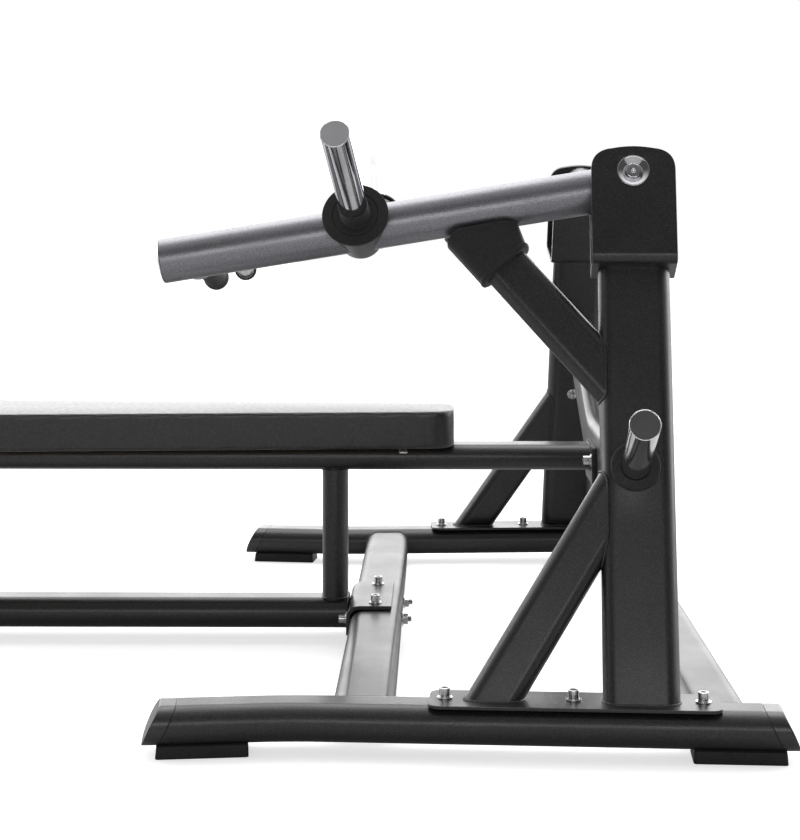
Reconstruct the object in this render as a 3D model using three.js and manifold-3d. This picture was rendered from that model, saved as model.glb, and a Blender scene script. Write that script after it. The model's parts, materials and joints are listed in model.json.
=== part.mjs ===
// Plate-loaded flat bench press with two independent lever arms.
// Millimetres, +Z up. The head end of the bench points along +X and the lifter's left side is at -Y.
// The origin is on the floor under the middle of the machine.
import * as THREE from 'three';
import { mergeVertices } from 'three/addons/utils/BufferGeometryUtils.js';
import Module from 'manifold-3d';

const wasm = await Module();
wasm.setup();

// ---------------------------------------------------------------- driving dimensions
const GAP = 0.3;
const WALL = 3;
const DEGREE = Math.PI / 180;
const HALF_LENGTH = 929;

const SIDE = { lean: 20, yaw: 3.33, foot: new THREE.Vector3(689, -810.3, 86) };
const FRONT_RAIL_YAW = 6.3;

const RAIL = {
  width: 100, height: 60, bottom: 20, bendX: 141, bendReach: 60, frontX: -88.5, rearX: HALF_LENGTH,
};
const RAIL_END = { slant: 28, capLength: 26, bulge: 3 };
const FOOT = { length: 144, width: 70, height: 20, corner: 5 };
const RAIL_FEET_X = { front: 5, rear: 838 };
const CROSS = { width: 100, height: 50, centreZ: 50, frontX: 254.5, rearX: 812 };
const BASE_PLATE = { length: 452, width: 98, thickness: 5.4, corner: 18, centreX: 585 };

const UPRIGHT = { width: 120, depth: 50, top: 702 };
const PIVOT_HEIGHT = 863.5;
const CLEVIS = { width: 142, depth: 105, plate: 8, bend: 16, above: 44, corner: 35, crown: 7 };
const PIN = { radius: 12.5, clearance: 0.3, headRadius: 24, headHeight: 7 };
const DISH = { radius: 27.5, floorRadius: 17, rim: 1.6 };
const BRACE = { width: 80, depth: 42 };
const LOWER_BRACE = { footX: -228, angle: 30.9 };
const UPPER_BRACE = { footX: -60.7, footZ: 533.5, angle: 41.2, reach: 276 };
const BOOT = { width: 98, depth: 66, corner: 30, overlap: 42, flare: 20.5, flareX: -221.4, flareZ: 716.9 };

const ARM = { radius: 38, length: 816, rest: 9.8, offset: -7, hubRadius: 41, hubWidth: 87.6 };
const BUSH = { radius: 17.5 };
const HORN = { along: 475, tilt: 5, radius: 23.5, wall: 4, tip: 355, bevel: 1.5 };
const HOUSING = { back: -44, front: 54, backRadius: 36.5, frontRadius: 51 };
const STOP = { radius: 56.5, face: 62.4, collarRadius: 24.9, collarEnd: 102, groove: 38, grooveDepth: 1.2 };
const HANDLE = { along: 762, rise: 10.3, radius: 14, length: 262, flangeRadius: 34, flangeEnd: 50 };
const GRIP = { radius: 19, start: 62, lip: 23, lipWidth: 9 };
const ARM_CAP = { dome: 5, plug: 18 };

const STORAGE = {
  x: -4, z: 363, length: 285, studRadius: 8, studBore: 3, collarRadius: 40, collarHeight: 9, nut: 14,
};

const YOKE = {
  width: 120, depth: 50, x: 710, centreZ: 365, halfStraight: 150, sideY: 618, sideZ: 545, bend: 60,
};
const LOWER_TUBE = { width: 100, height: 60, bottom: 20 };
const UPPER_TUBE = { width: 100, height: 50, bottom: 335, front: -740 };
const YOKE_FLANGE = { thickness: 8.7, halfWidth: 75, bottom: 311, top: 386, corner: 12 };
const POST = { length: 50, width: 78, rearX: 169.5, frontX: -721 };
const L_BRACKET = { plate: 8, halfWidth: 120, bottom: 26, top: 83.3, reach: 80, bend: 28 };
const FOOT_BAR = { width: 100, halfLength: 300, footY: 228 };
const PAD = {
  head: 407, front: -791, bottom: 386.3, top: 455, headHalf: 86, taper: 0.065, maxHalf: 150, corner: 46,
};
const BOARD = { inset: 24, thickness: 12, recess: 12.5 };
const PAD_BRACKET = { length: 57, plate: 5, bottom: 352, rearX: 306, frontX: -560, corner: 8 };

const ARC_STEPS = 3;
const LATHE_STEPS = 20;
const BEND_STEPS = 3;
const BIG = 3000;

const FINISHES = {
  frame: { color: 0x232425, roughness: 0.55, metalness: 0.35 },
  arm: { color: 0x66646a, roughness: 0.38, metalness: 0.7 },
  chrome: { color: 0xd4d6d8, roughness: 0.12, metalness: 1 },
  zinc: { color: 0xc2c4c6, roughness: 0.3, metalness: 1 },
  rubber: { color: 0x1c1c1c, roughness: 0.8, metalness: 0 },
  plastic: { color: 0x202122, roughness: 0.5, metalness: 0 },
  vinyl: { color: 0x1a1a1b, roughness: 0.5, metalness: 0 },
  plywood: { color: 0x8a6a45, roughness: 0.8, metalness: 0 },
  bronze: { color: 0x9a7a45, roughness: 0.4, metalness: 0.9 },
};

// ---------------------------------------------------------------- solids and booleans
function toSolid(geometry) {
  const bare = geometry.clone();
  bare.deleteAttribute('normal');
  bare.deleteAttribute('uv');
  const merged = mergeVertices(bare, 1e-4);
  return new wasm.Manifold(new wasm.Mesh({
    numProp: 3,
    vertProperties: new Float32Array(merged.attributes.position.array),
    triVerts: new Uint32Array(merged.index.array),
  }));
}

function toGeometry(solid) {
  const mesh = solid.getMesh();
  const geometry = new THREE.BufferGeometry();
  geometry.setAttribute('position', new THREE.BufferAttribute(mesh.vertProperties, 3));
  geometry.setIndex(new THREE.BufferAttribute(mesh.triVerts, 1));
  geometry.computeVertexNormals();
  return geometry;
}

function cut(body, ...tools) {
  return toGeometry(tools.reduce((rest, tool) => rest.subtract(toSolid(tool)), toSolid(body)));
}

function join(...bodies) {
  return toGeometry(bodies.map(toSolid).reduce((whole, body) => whole.add(body)));
}

function common(first, second) {
  return toGeometry(toSolid(first).intersect(toSolid(second)));
}

// The same solid on the other side of the middle plane, with its faces still pointing out.
function mirrored(geometry) {
  const copy = toGeometry(toSolid(geometry));
  copy.scale(1, -1, 1);
  const index = copy.index.array;
  for (let i = 0; i < index.length; i += 3) {
    [index[i], index[i + 1]] = [index[i + 1], index[i]];
  }
  return copy;
}

// A block that fills the space on the side of a plane that its normal points to.
function spaceBeyond(point, normal) {
  const block = new THREE.BoxGeometry(BIG, BIG, BIG).translate(0, 0, BIG / 2);
  return aimed(block, normal).translate(point.x, point.y, point.z);
}

// ---------------------------------------------------------------- sections and sweeps
function vec(x, y, z) {
  return new THREE.Vector3(x, y, z);
}

// A flat oval: a rectangle whose short sides are half circles.
function oval(width, height) {
  return roundRect(width, height, Math.min(width, height) / 2);
}

function roundRect(width, height, radius) {
  const shape = new THREE.Shape();
  const x = width / 2 - radius;
  const y = height / 2 - radius;
  shape.absarc(x, y, radius, 0, Math.PI / 2);
  shape.absarc(-x, y, radius, Math.PI / 2, Math.PI);
  shape.absarc(-x, -y, radius, Math.PI, 1.5 * Math.PI);
  shape.absarc(x, -y, radius, 1.5 * Math.PI, 2 * Math.PI);
  return shape;
}

function hollow(width, height) {
  const shape = oval(width, height);
  shape.holes.push(oval(width - 2 * WALL, height - 2 * WALL));
  return shape;
}

function extrude(shape, depth) {
  return new THREE.ExtrudeGeometry(shape, { depth, bevelEnabled: false, curveSegments: ARC_STEPS });
}

// A straight bar from one point to another; the section's x axis lies towards `across`.
function beam(shape, from, to, across) {
  const along = to.clone().sub(from);
  const zAxis = along.clone().normalize();
  const yAxis = zAxis.clone().cross(across).normalize();
  const xAxis = yAxis.clone().cross(zAxis);
  const place = new THREE.Matrix4().makeBasis(xAxis, yAxis, zAxis).setPosition(from);
  return extrude(shape, along.length()).applyMatrix4(place);
}

// A path through given stations, so that a straight run takes one step and a bend takes several.
class StationPath extends THREE.Curve {
  constructor(stations) {
    super();
    this.stations = stations;
    this.last = stations.length - 1;
  }

  getPointAt(u) {
    return this.stations[Math.round(u * this.last)].clone();
  }

  getTangentAt(u) {
    const i = Math.round(u * this.last);
    const ahead = this.stations[Math.min(i + 1, this.last)];
    const behind = this.stations[Math.max(i - 1, 0)];
    return ahead.clone().sub(behind).normalize();
  }
}

// A bar along a polyline whose corners are bends that start `bendReach` before and after them.
function bentBeam(shape, points, bendReach) {
  const stations = [points[0]];
  for (let i = 1; i < points.length - 1; i += 1) {
    const corner = points[i];
    const before = corner.clone().lerp(points[i - 1], bendReach / corner.distanceTo(points[i - 1]));
    const after = corner.clone().lerp(points[i + 1], bendReach / corner.distanceTo(points[i + 1]));
    stations.push(...new THREE.QuadraticBezierCurve3(before, corner, after).getPoints(BEND_STEPS));
  }
  stations.push(points[points.length - 1]);
  const extrudePath = new StationPath(stations);
  return new THREE.ExtrudeGeometry(shape, {
    steps: extrudePath.last, extrudePath, bevelEnabled: false, curveSegments: ARC_STEPS,
  });
}

// A turned piece: profile points are [radius, height along +Z].
function turned(profile) {
  const points = profile.map(([radius, height]) => new THREE.Vector2(radius, height));
  return new THREE.LatheGeometry(points, LATHE_STEPS).rotateX(Math.PI / 2);
}

function rod(radius, from, to) {
  return turned([[0, from], [radius, from], [radius, to], [0, to]]);
}

// Turn a piece that points along +Z so that it points along another direction.
function aimed(geometry, direction) {
  const turn = new THREE.Quaternion().setFromUnitVectors(vec(0, 0, 1), direction.clone().normalize());
  return geometry.applyQuaternion(turn);
}

function part(name, geometry, finish) {
  const mesh = new THREE.Mesh(geometry, new THREE.MeshStandardMaterial(FINISHES[finish]));
  mesh.name = name;
  return mesh;
}

// ---------------------------------------------------------------- base rails
const SIDE_YAW = SIDE.yaw * DEGREE;
const RAIL_ALONG = vec(Math.cos(SIDE_YAW), -Math.sin(SIDE_YAW), 0);
const RAIL_MIDDLE_Z = RAIL.bottom + RAIL.height / 2;

// Height of the rail's centre line over the floor is constant; this gives its Y at any X.
function railY(x) {
  const bendY = SIDE.foot.y + (SIDE.foot.x - RAIL.bendX) * Math.tan(SIDE_YAW);
  if (x >= RAIL.bendX) return bendY - (x - RAIL.bendX) * Math.tan(SIDE_YAW);
  return bendY - (RAIL.bendX - x) * Math.tan(FRONT_RAIL_YAW * DEGREE);
}

function railPoint(x) {
  return vec(x, railY(x), RAIL_MIDDLE_Z);
}

function railBar(shape, frontX, rearX) {
  return bentBeam(shape, [railPoint(frontX), railPoint(RAIL.bendX), railPoint(rearX)], RAIL.bendReach);
}

// The sections of a bar along a level path stand on edge, so width and height swap.
const RAIL_ENVELOPE = railBar(oval(RAIL.height + 2 * GAP, RAIL.width + 2 * GAP), RAIL.frontX, RAIL.rearX);

// The slanted plane where an end cap meets its tube, `back` behind the bottom tip of the cap.
function endPlaneNormal(outward) {
  return outward.clone().multiplyScalar(RAIL.height).add(vec(0, 0, RAIL_END.slant)).normalize();
}

function endJoint(tip, outward) {
  return vec(tip.x, tip.y, RAIL.bottom).addScaledVector(outward, -RAIL_END.capLength);
}

// A moulded end cap whose outer face slants back and bulges a little.
function endCap(tip, outward) {
  const { capLength, slant, bulge } = RAIL_END;
  const profile = new THREE.Shape();
  profile.moveTo(-capLength - slant - 10, -1);
  profile.lineTo(-2, -1);
  profile.quadraticCurveTo(0, 0, -1, 3);
  profile.quadraticCurveTo(-slant / 2 + bulge, RAIL.height / 2 + bulge, -slant, RAIL.height - 2);
  profile.quadraticCurveTo(-slant - 1, RAIL.height, -slant - 4, RAIL.height + 1);
  profile.lineTo(-capLength - slant - 10, RAIL.height + 1);
  const side = outward.clone().cross(vec(0, 0, 1));
  const place = new THREE.Matrix4()
    .makeBasis(outward, vec(0, 0, 1), side)
    .setPosition(vec(tip.x, tip.y, RAIL.bottom).addScaledVector(side, -RAIL.width));
  const wedge = extrude(profile, 2 * RAIL.width).applyMatrix4(place);
  const centre = vec(tip.x, tip.y, RAIL_MIDDLE_Z);
  const inner = centre.clone().addScaledVector(outward, -90);
  const tube = beam(oval(RAIL.width, RAIL.height), inner, centre, side);
  const normal = endPlaneNormal(outward);
  const joint = endJoint(tip, outward).addScaledVector(normal, GAP);
  return cut(common(wedge, tube), spaceBeyond(joint, normal.clone().negate()));
}

function railFoot(x, turn) {
  return footBlock(turn).translate(x, railY(x), 0);
}

// A rubber foot, slightly drafted, standing on the floor under a tube.
function footBlock(turn) {
  const height = FOOT.height - GAP;
  const block = extrude(roundRect(FOOT.length, FOOT.width, FOOT.corner), height);
  const position = block.attributes.position;
  for (let i = 0; i < position.count; i += 1) {
    if (position.getZ(i) > 1) position.setXY(i, position.getX(i) * 0.975, position.getY(i) * 0.95);
  }
  return block.rotateZ(turn);
}

function buildRail(side) {
  const frontAlong = vec(-Math.cos(FRONT_RAIL_YAW * DEGREE), -Math.sin(FRONT_RAIL_YAW * DEGREE), 0);
  const frontTip = railPoint(RAIL.frontX);
  const rearTip = railPoint(RAIL.rearX);
  const tube = cut(
    railBar(hollow(RAIL.height, RAIL.width), RAIL.frontX, RAIL.rearX),
    spaceBeyond(endJoint(frontTip, frontAlong), endPlaneNormal(frontAlong)),
    spaceBeyond(endJoint(rearTip, RAIL_ALONG), endPlaneNormal(RAIL_ALONG)),
  );
  const group = new THREE.Group();
  group.add(
    part(`${side}_base_rail`, tube, 'frame'),
    part(`${side}_rail_front_cap`, endCap(frontTip, frontAlong), 'plastic'),
    part(`${side}_rail_rear_cap`, endCap(rearTip, RAIL_ALONG), 'plastic'),
    part(`${side}_front_foot`, railFoot(RAIL_FEET_X.front, FRONT_RAIL_YAW * DEGREE), 'rubber'),
    part(`${side}_rear_foot`, railFoot(RAIL_FEET_X.rear, -SIDE_YAW), 'rubber'),
    part(`${side}_base_plate`, basePlate(), 'frame'),
  );
  return group;
}

function basePlate() {
  const { length, width, thickness, corner, centreX } = BASE_PLATE;
  return extrude(roundRect(length, width, corner), thickness)
    .rotateZ(-SIDE_YAW)
    .translate(centreX, railY(centreX), RAIL.bottom + RAIL.height + GAP);
}

// ---------------------------------------------------------------- side frames
// Each side frame stands in a leaning plane: its x runs back along the rail, y points inwards and
// down through the plane, and z climbs up the upright.
const SIDE_UP = vec(0, 0, 1).multiplyScalar(Math.cos(SIDE.lean * DEGREE))
  .add(vec(Math.sin(SIDE_YAW), Math.cos(SIDE_YAW), 0).multiplyScalar(Math.sin(SIDE.lean * DEGREE)));
const SIDE_IN = SIDE_UP.clone().cross(RAIL_ALONG);
const SIDE_MATRIX = new THREE.Matrix4().makeBasis(RAIL_ALONG, SIDE_IN, SIDE_UP).setPosition(SIDE.foot);
const LEVEL_UP = vec(0, -Math.sin(SIDE.lean * DEGREE), Math.cos(SIDE.lean * DEGREE));
const ALONG = vec(1, 0, 0);
const ACROSS = vec(0, 1, 0);
const BELOW_PLATE = spaceBeyond(vec(0, 0, GAP), LEVEL_UP.clone().negate());

function uprightBar(shape) {
  return beam(shape, vec(0, 0, -60), vec(0, 0, UPRIGHT.top - GAP), ALONG);
}

const UPRIGHT_ENVELOPE = uprightBar(oval(UPRIGHT.width + 2 * GAP, UPRIGHT.depth + 2 * GAP));

function upright() {
  const studHole = rod(STORAGE.studRadius + GAP, -UPRIGHT.depth, UPRIGHT.depth)
    .rotateX(Math.PI / 2)
    .translate(STORAGE.x, 0, STORAGE.z);
  return cut(uprightBar(hollow(UPRIGHT.width, UPRIGHT.depth)), BELOW_PLATE, studHole);
}

function lowerBrace() {
  const lean = vec(Math.sin(LOWER_BRACE.angle * DEGREE), 0, Math.cos(LOWER_BRACE.angle * DEGREE));
  const foot = vec(LOWER_BRACE.footX, 0, 0);
  const from = foot.clone().addScaledVector(lean, -90);
  const to = foot.clone().addScaledVector(lean, 420);
  return cut(beam(hollow(BRACE.width, BRACE.depth), from, to, ALONG), BELOW_PLATE, UPRIGHT_ENVELOPE);
}

const BRACE_UP = vec(-Math.sin(UPPER_BRACE.angle * DEGREE), 0, Math.cos(UPPER_BRACE.angle * DEGREE));
const BRACE_FOOT = vec(UPPER_BRACE.footX, 0, UPPER_BRACE.footZ);

function upperBraceBar(shape, extra) {
  const from = BRACE_FOOT.clone().addScaledVector(BRACE_UP, -80);
  const to = BRACE_FOOT.clone().addScaledVector(BRACE_UP, UPPER_BRACE.reach + extra);
  return beam(shape, from, to, ALONG);
}

function upperBrace() {
  return cut(upperBraceBar(hollow(BRACE.width, BRACE.depth), 0), UPRIGHT_ENVELOPE);
}

// The arm's own frame: x runs along the arm towards the head end and the pivot is its origin.
const ARM_MATRIX = new THREE.Matrix4()
  .makeRotationY(-ARM.rest * DEGREE)
  .setPosition(vec(0, 0, PIVOT_HEIGHT));

function armEnvelope(radius) {
  return rod(radius, -ARM.length - 20, 0).rotateY(Math.PI / 2).translate(0, 0, ARM.offset);
}

// A rubber boot over the top of the upper brace. It flares towards its seat, which is hollowed for the arm.
function stopBoot() {
  const { reach } = UPPER_BRACE;
  const section = roundRect(BOOT.width, BOOT.depth, BOOT.corner);
  const from = BRACE_FOOT.clone().addScaledVector(BRACE_UP, reach - BOOT.overlap);
  const to = BRACE_FOOT.clone().addScaledVector(BRACE_UP, reach + 100);
  const sleeve = beam(section, from, to, ALONG);
  const flareFrom = vec(BOOT.flareX, 0, BOOT.flareZ);
  const flareTo = vec(-Math.sin(BOOT.flare * DEGREE), 0, Math.cos(BOOT.flare * DEGREE)).multiplyScalar(100);
  const flare = beam(section, flareFrom, flareTo.add(flareFrom), ALONG);
  const seat = ARM.offset - ARM.radius;
  const outline = new THREE.Shape();
  outline.moveTo(-420, seat - 160);
  outline.lineTo(-345, seat - 34);
  outline.quadraticCurveTo(-334, seat - 10, -306, seat + 2);
  outline.lineTo(-218, seat + 2);
  outline.quadraticCurveTo(-203, seat, -200, seat - 12);
  outline.lineTo(-150, seat - 90);
  outline.lineTo(-150, seat - 160);
  const slab = extrude(outline, 2 * BOOT.depth)
    .rotateX(Math.PI / 2)
    .translate(0, BOOT.depth, 0)
    .applyMatrix4(ARM_MATRIX);
  const socket = upperBraceBar(oval(BRACE.width + 2 * GAP, BRACE.depth + 2 * GAP), GAP);
  const seatGroove = armEnvelope(ARM.radius + 2 * GAP).applyMatrix4(ARM_MATRIX);
  return cut(common(join(sleeve, flare), slab), socket, seatGroove);
}

// A bent plate whose web sits on the upright and whose two cheeks carry the pivot pin.
function clevis() {
  const { width, depth, plate, bend, above, corner, crown } = CLEVIS;
  const bottom = UPRIGHT.top;
  const top = PIVOT_HEIGHT + above;
  const u = new THREE.Shape();
  const half = depth / 2;
  u.moveTo(half, top);
  u.lineTo(half - plate, top);
  u.absarc(half - bend, bottom + bend, bend - plate, 0, -Math.PI / 2, true);
  u.absarc(-half + bend, bottom + bend, bend - plate, -Math.PI / 2, -Math.PI, true);
  u.lineTo(-half + plate, top);
  u.lineTo(-half, top);
  u.absarc(-half + bend, bottom + bend, bend, Math.PI, 1.5 * Math.PI);
  u.absarc(half - bend, bottom + bend, bend, 1.5 * Math.PI, 2 * Math.PI);
  const channel = beam(u, vec(-width / 2, 0, 0), vec(width / 2, 0, 0), ACROSS);
  const face = new THREE.Shape();
  face.moveTo(-width / 2, bottom - 10);
  face.lineTo(width / 2, bottom - 10);
  face.lineTo(width / 2, top - corner - crown);
  face.quadraticCurveTo(width / 2, top - crown, width / 2 - corner, top - crown / 2);
  face.quadraticCurveTo(0, top + crown / 2, -width / 2 + corner, top - crown / 2);
  face.quadraticCurveTo(-width / 2, top - crown, -width / 2, top - corner - crown);
  const slab = extrude(face, 2 * depth).rotateX(Math.PI / 2).translate(0, depth, 0);
  const pinHole = rod(PIN.radius + GAP, 0, depth).rotateX(-Math.PI / 2).translate(0, 0, PIVOT_HEIGHT);
  const dishHole = rod(DISH.radius + GAP, 0, depth).rotateX(Math.PI / 2).translate(0, 0, PIVOT_HEIGHT);
  return cut(common(channel, slab), pinHole, dishHole);
}

// The pin's outer end shows in the dish; its inner end has a flat round head on the inner cheek.
function pivotPin() {
  const outer = -CLEVIS.depth / 2 + 1;
  const cheek = CLEVIS.depth / 2 + GAP;
  const { radius, headRadius, headHeight } = PIN;
  return turned([
    [0, outer], [radius - 1.5, outer], [radius, outer + 1.5], [radius, cheek],
    [headRadius, cheek], [headRadius, cheek + headHeight - 2], [headRadius - 2, cheek + headHeight],
    [0, cheek + headHeight],
  ]).rotateX(-Math.PI / 2).translate(0, 0, PIVOT_HEIGHT);
}

// A dished washer let into the outer cheek around the pin.
function pivotDish() {
  const outer = -CLEVIS.depth / 2;
  const inner = outer + CLEVIS.plate;
  const bore = PIN.radius + GAP;
  return turned([
    [bore, inner - 2], [DISH.floorRadius, inner - 2], [DISH.radius - DISH.rim, outer],
    [DISH.radius, outer], [DISH.radius, inner], [bore, inner], [bore, inner - 2],
  ]).rotateX(-Math.PI / 2).translate(0, 0, PIVOT_HEIGHT);
}

// ---------------------------------------------------------------- weight storage
// A closed tube on a drilled stud that passes through the upright.
function storageHorn() {
  const { length, studRadius, studBore, nut } = STORAGE;
  const { radius, wall, bevel } = HORN;
  const through = -UPRIGHT.depth - nut - 4;
  const floor = GAP + 2 * wall;
  return turned([
    [studBore, through], [studRadius, through], [studRadius, GAP], [radius, GAP], [radius, length - bevel],
    [radius - bevel, length], [0, length], [0, length - wall], [radius - wall, length - wall],
    [radius - wall, floor], [studBore, floor], [studBore, through],
  ]);
}

function storageCollar() {
  const { collarRadius, collarHeight } = STORAGE;
  const bore = HORN.radius + GAP;
  return turned([
    [bore, GAP], [collarRadius, GAP], [collarRadius, collarHeight - 4], [collarRadius - 4, collarHeight],
    [bore + 4, collarHeight + 1], [bore, collarHeight + 1], [bore, GAP],
  ]);
}

function onUprightFace(geometry) {
  return geometry.rotateX(Math.PI / 2).translate(STORAGE.x, -UPRIGHT.depth / 2, STORAGE.z);
}

function buildSideFrame(side) {
  const group = new THREE.Group();
  group.applyMatrix4(SIDE_MATRIX);
  group.add(
    part(`${side}_upright`, upright(), 'frame'),
    part(`${side}_lower_brace`, lowerBrace(), 'frame'),
    part(`${side}_upper_brace`, upperBrace(), 'frame'),
    part(`${side}_stop_boot`, stopBoot(), 'rubber'),
    part(`${side}_pivot_clevis`, clevis(), 'frame'),
    part(`${side}_pivot_pin`, pivotPin(), 'chrome'),
    part(`${side}_pivot_dish`, pivotDish(), 'chrome'),
    part(`${side}_storage_horn`, onUprightFace(storageHorn()), 'chrome'),
    part(`${side}_storage_collar`, onUprightFace(storageCollar()), 'rubber'),
    buildArm(side),
  );
  return group;
}

// ---------------------------------------------------------------- lever arms
const HORN_OUT = vec(0, -Math.cos(HORN.tilt * DEGREE), Math.sin(HORN.tilt * DEGREE));
const HANDLE_OUT = vec(0, Math.cos(HANDLE.rise * DEGREE), Math.sin(HANDLE.rise * DEGREE));

function onHorn(geometry) {
  return aimed(geometry, HORN_OUT).translate(-HORN.along, 0, ARM.offset);
}

function onHandle(geometry) {
  return aimed(geometry, HANDLE_OUT).translate(-HANDLE.along, 0, ARM.offset);
}

// The tube, its hub, the handle bar and the bar's flange are one weldment, open at the tube's free end.
function armWeldment() {
  const tube = rod(ARM.radius, -ARM.length, -10).rotateY(Math.PI / 2).translate(0, 0, ARM.offset);
  const inside = rod(ARM.radius - WALL, -ARM.length - 20, -ARM.hubRadius)
    .rotateY(Math.PI / 2)
    .translate(0, 0, ARM.offset);
  const hub = rod(ARM.hubRadius, -ARM.hubWidth / 2, ARM.hubWidth / 2).rotateX(-Math.PI / 2);
  const bore = rod(BUSH.radius + GAP, -ARM.hubWidth, ARM.hubWidth).rotateX(-Math.PI / 2);
  const bar = onHandle(rod(HANDLE.radius, ARM.radius - 2, HANDLE.length));
  const flange = onHandle(rod(HANDLE.flangeRadius, 0, HANDLE.flangeEnd));
  return cut(join(tube, hub, flange, bar), inside, bore);
}

function armEndCap() {
  const { radius, length, offset } = ARM;
  const plugRadius = radius - WALL - GAP;
  return turned([
    [0, -length + ARM_CAP.plug], [plugRadius, -length + ARM_CAP.plug], [plugRadius, -length - GAP],
    [radius, -length - GAP], [radius - 0.5, -length - 2], [radius - 12, -length - 4],
    [0, -length - ARM_CAP.dome],
  ].reverse()).rotateY(Math.PI / 2).translate(0, 0, offset);
}

function hubBush() {
  const half = ARM.hubWidth / 2;
  const bore = PIN.radius + PIN.clearance;
  return turned([[bore, -half], [BUSH.radius, -half], [BUSH.radius, half], [bore, half], [bore, -half]])
    .rotateX(Math.PI / 2);
}

// A tapered cup that wraps the arm and carries the weight horn.
function hornHousing() {
  const { back, front, backRadius, frontRadius } = HOUSING;
  const cup = onHorn(turned([
    [0, back], [backRadius - 2, back], [backRadius, back + 2], [frontRadius, front], [0, front],
  ]));
  const armSpace = armEnvelope(ARM.radius + GAP);
  const socket = onHorn(rod(HORN.radius + GAP, ARM.radius, front + 10));
  return cut(cup, armSpace, socket);
}

// The rubber disc and sleeve that a loaded plate rests against.
function hornStop() {
  const { radius, face, collarRadius, collarEnd, groove, grooveDepth } = STOP;
  const bore = HORN.radius + GAP;
  const back = HOUSING.front + GAP;
  return onHorn(turned([
    [bore, back], [radius - 2, back], [radius, back + 2], [radius, face - 3], [radius - 3, face],
    [groove + 1.5, face], [groove, face - grooveDepth], [groove - 1.5, face],
    [collarRadius + 1, face], [collarRadius, face + 1], [collarRadius, collarEnd - 1],
    [collarRadius - 0.6, collarEnd], [bore, collarEnd], [bore, back],
  ]));
}

function armHorn() {
  const { radius, wall, tip, bevel } = HORN;
  const root = ARM.radius + 2;
  return onHorn(turned([
    [radius - wall, root], [radius, root], [radius, tip - bevel], [radius - bevel, tip], [0, tip],
    [0, tip - wall], [radius - wall, tip - wall], [radius - wall, root],
  ]));
}

function handleGrip() {
  const { radius, start, lip, lipWidth } = GRIP;
  const end = HANDLE.length + 6;
  const bore = HANDLE.radius + GAP;
  return onHandle(turned([
    [bore, start], [radius - 1, start], [radius, start + 1], [radius, end - lipWidth - 3],
    [lip, end - lipWidth], [lip, end - 1.5], [lip - 1.5, end], [0, end], [0, HANDLE.length + GAP],
    [bore, HANDLE.length + GAP], [bore, start],
  ]));
}

function buildArm(side) {
  const group = new THREE.Group();
  group.applyMatrix4(ARM_MATRIX);
  group.add(
    part(`${side}_arm`, armWeldment(), 'arm'),
    part(`${side}_arm_end_cap`, armEndCap(), 'zinc'),
    part(`${side}_hub_bush`, hubBush(), 'bronze'),
    part(`${side}_horn_housing`, hornHousing(), 'plastic'),
    part(`${side}_horn_stop`, hornStop(), 'rubber'),
    part(`${side}_arm_horn`, armHorn(), 'chrome'),
    part(`${side}_handle_grip`, handleGrip(), 'rubber'),
  );
  return group;
}

// ---------------------------------------------------------------- parts across the machine
function crossMember(x) {
  const shape = hollow(CROSS.width, CROSS.height);
  const reach = -SIDE.foot.y;
  const bar = beam(shape, vec(x, -reach, CROSS.centreZ), vec(x, reach, CROSS.centreZ), ALONG);
  return middlePiece(cut(bar, RAIL_ENVELOPE, mirrored(RAIL_ENVELOPE)), x);
}

// After coping, stray ends can be left outside the rails, so only the stretch between them is kept.
function middlePiece(geometry, x) {
  const reach = 2 * (-railY(x) - 20);
  return common(geometry, new THREE.BoxGeometry(400, reach, 400).translate(x, 0, 100));
}

// The beam that ties the two uprights dips in the middle, below the head of the bench.
function yokeBeam() {
  const { width, depth, x, centreZ, halfStraight, sideY, sideZ, bend } = YOKE;
  const outer = 40;
  const rise = (sideZ - centreZ) / (sideY - halfStraight);
  const endY = sideY + outer;
  const endZ = sideZ + outer * rise;
  const points = [
    vec(x, -endY, endZ), vec(x, -halfStraight, centreZ), vec(x, halfStraight, centreZ), vec(x, endY, endZ),
  ];
  const bar = bentBeam(hollow(depth, width), points, bend);
  const uprightSpace = UPRIGHT_ENVELOPE.clone().applyMatrix4(SIDE_MATRIX);
  const coped = cut(bar, uprightSpace, mirrored(uprightSpace));
  return common(coped, new THREE.BoxGeometry(200, 2 * sideY, 900).translate(x, 0, 400));
}

// An angle plate that bolts the bench's lower tube to the front cross-member.
function benchBracket() {
  const { plate, halfWidth, bottom, top, reach, bend } = L_BRACKET;
  const face = CROSS.frontX - CROSS.width / 2 - GAP;
  const shape = new THREE.Shape();
  shape.moveTo(face, bottom);
  shape.absarc(face - plate + bend, top - bend, bend - plate, Math.PI, Math.PI / 2, true);
  shape.lineTo(face + reach, top - plate);
  shape.lineTo(face + reach, top);
  shape.absarc(face - plate + bend, top - bend, bend, Math.PI / 2, Math.PI);
  shape.lineTo(face - plate, bottom);
  return extrude(shape, 2 * halfWidth).rotateX(Math.PI / 2).translate(0, halfWidth, 0);
}

function benchLowerTube() {
  const { width, height, bottom } = LOWER_TUBE;
  const rear = CROSS.frontX - CROSS.width / 2 - GAP - L_BRACKET.plate - GAP;
  const z = bottom + height / 2;
  const bar = beam(hollow(width, height), vec(FOOT_BAR_X, 0, z), vec(rear, 0, z), ACROSS);
  return cut(bar, footBarBar(oval(FOOT_BAR.width + 2 * GAP, RAIL.height + 2 * GAP)));
}

const FOOT_BAR_X = -HALF_LENGTH + FOOT_BAR.width / 2;

function footBarBar(shape) {
  const reach = FOOT_BAR.halfLength;
  return beam(shape, vec(FOOT_BAR_X, -reach, RAIL_MIDDLE_Z), vec(FOOT_BAR_X, reach, RAIL_MIDDLE_Z), ALONG);
}

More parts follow.
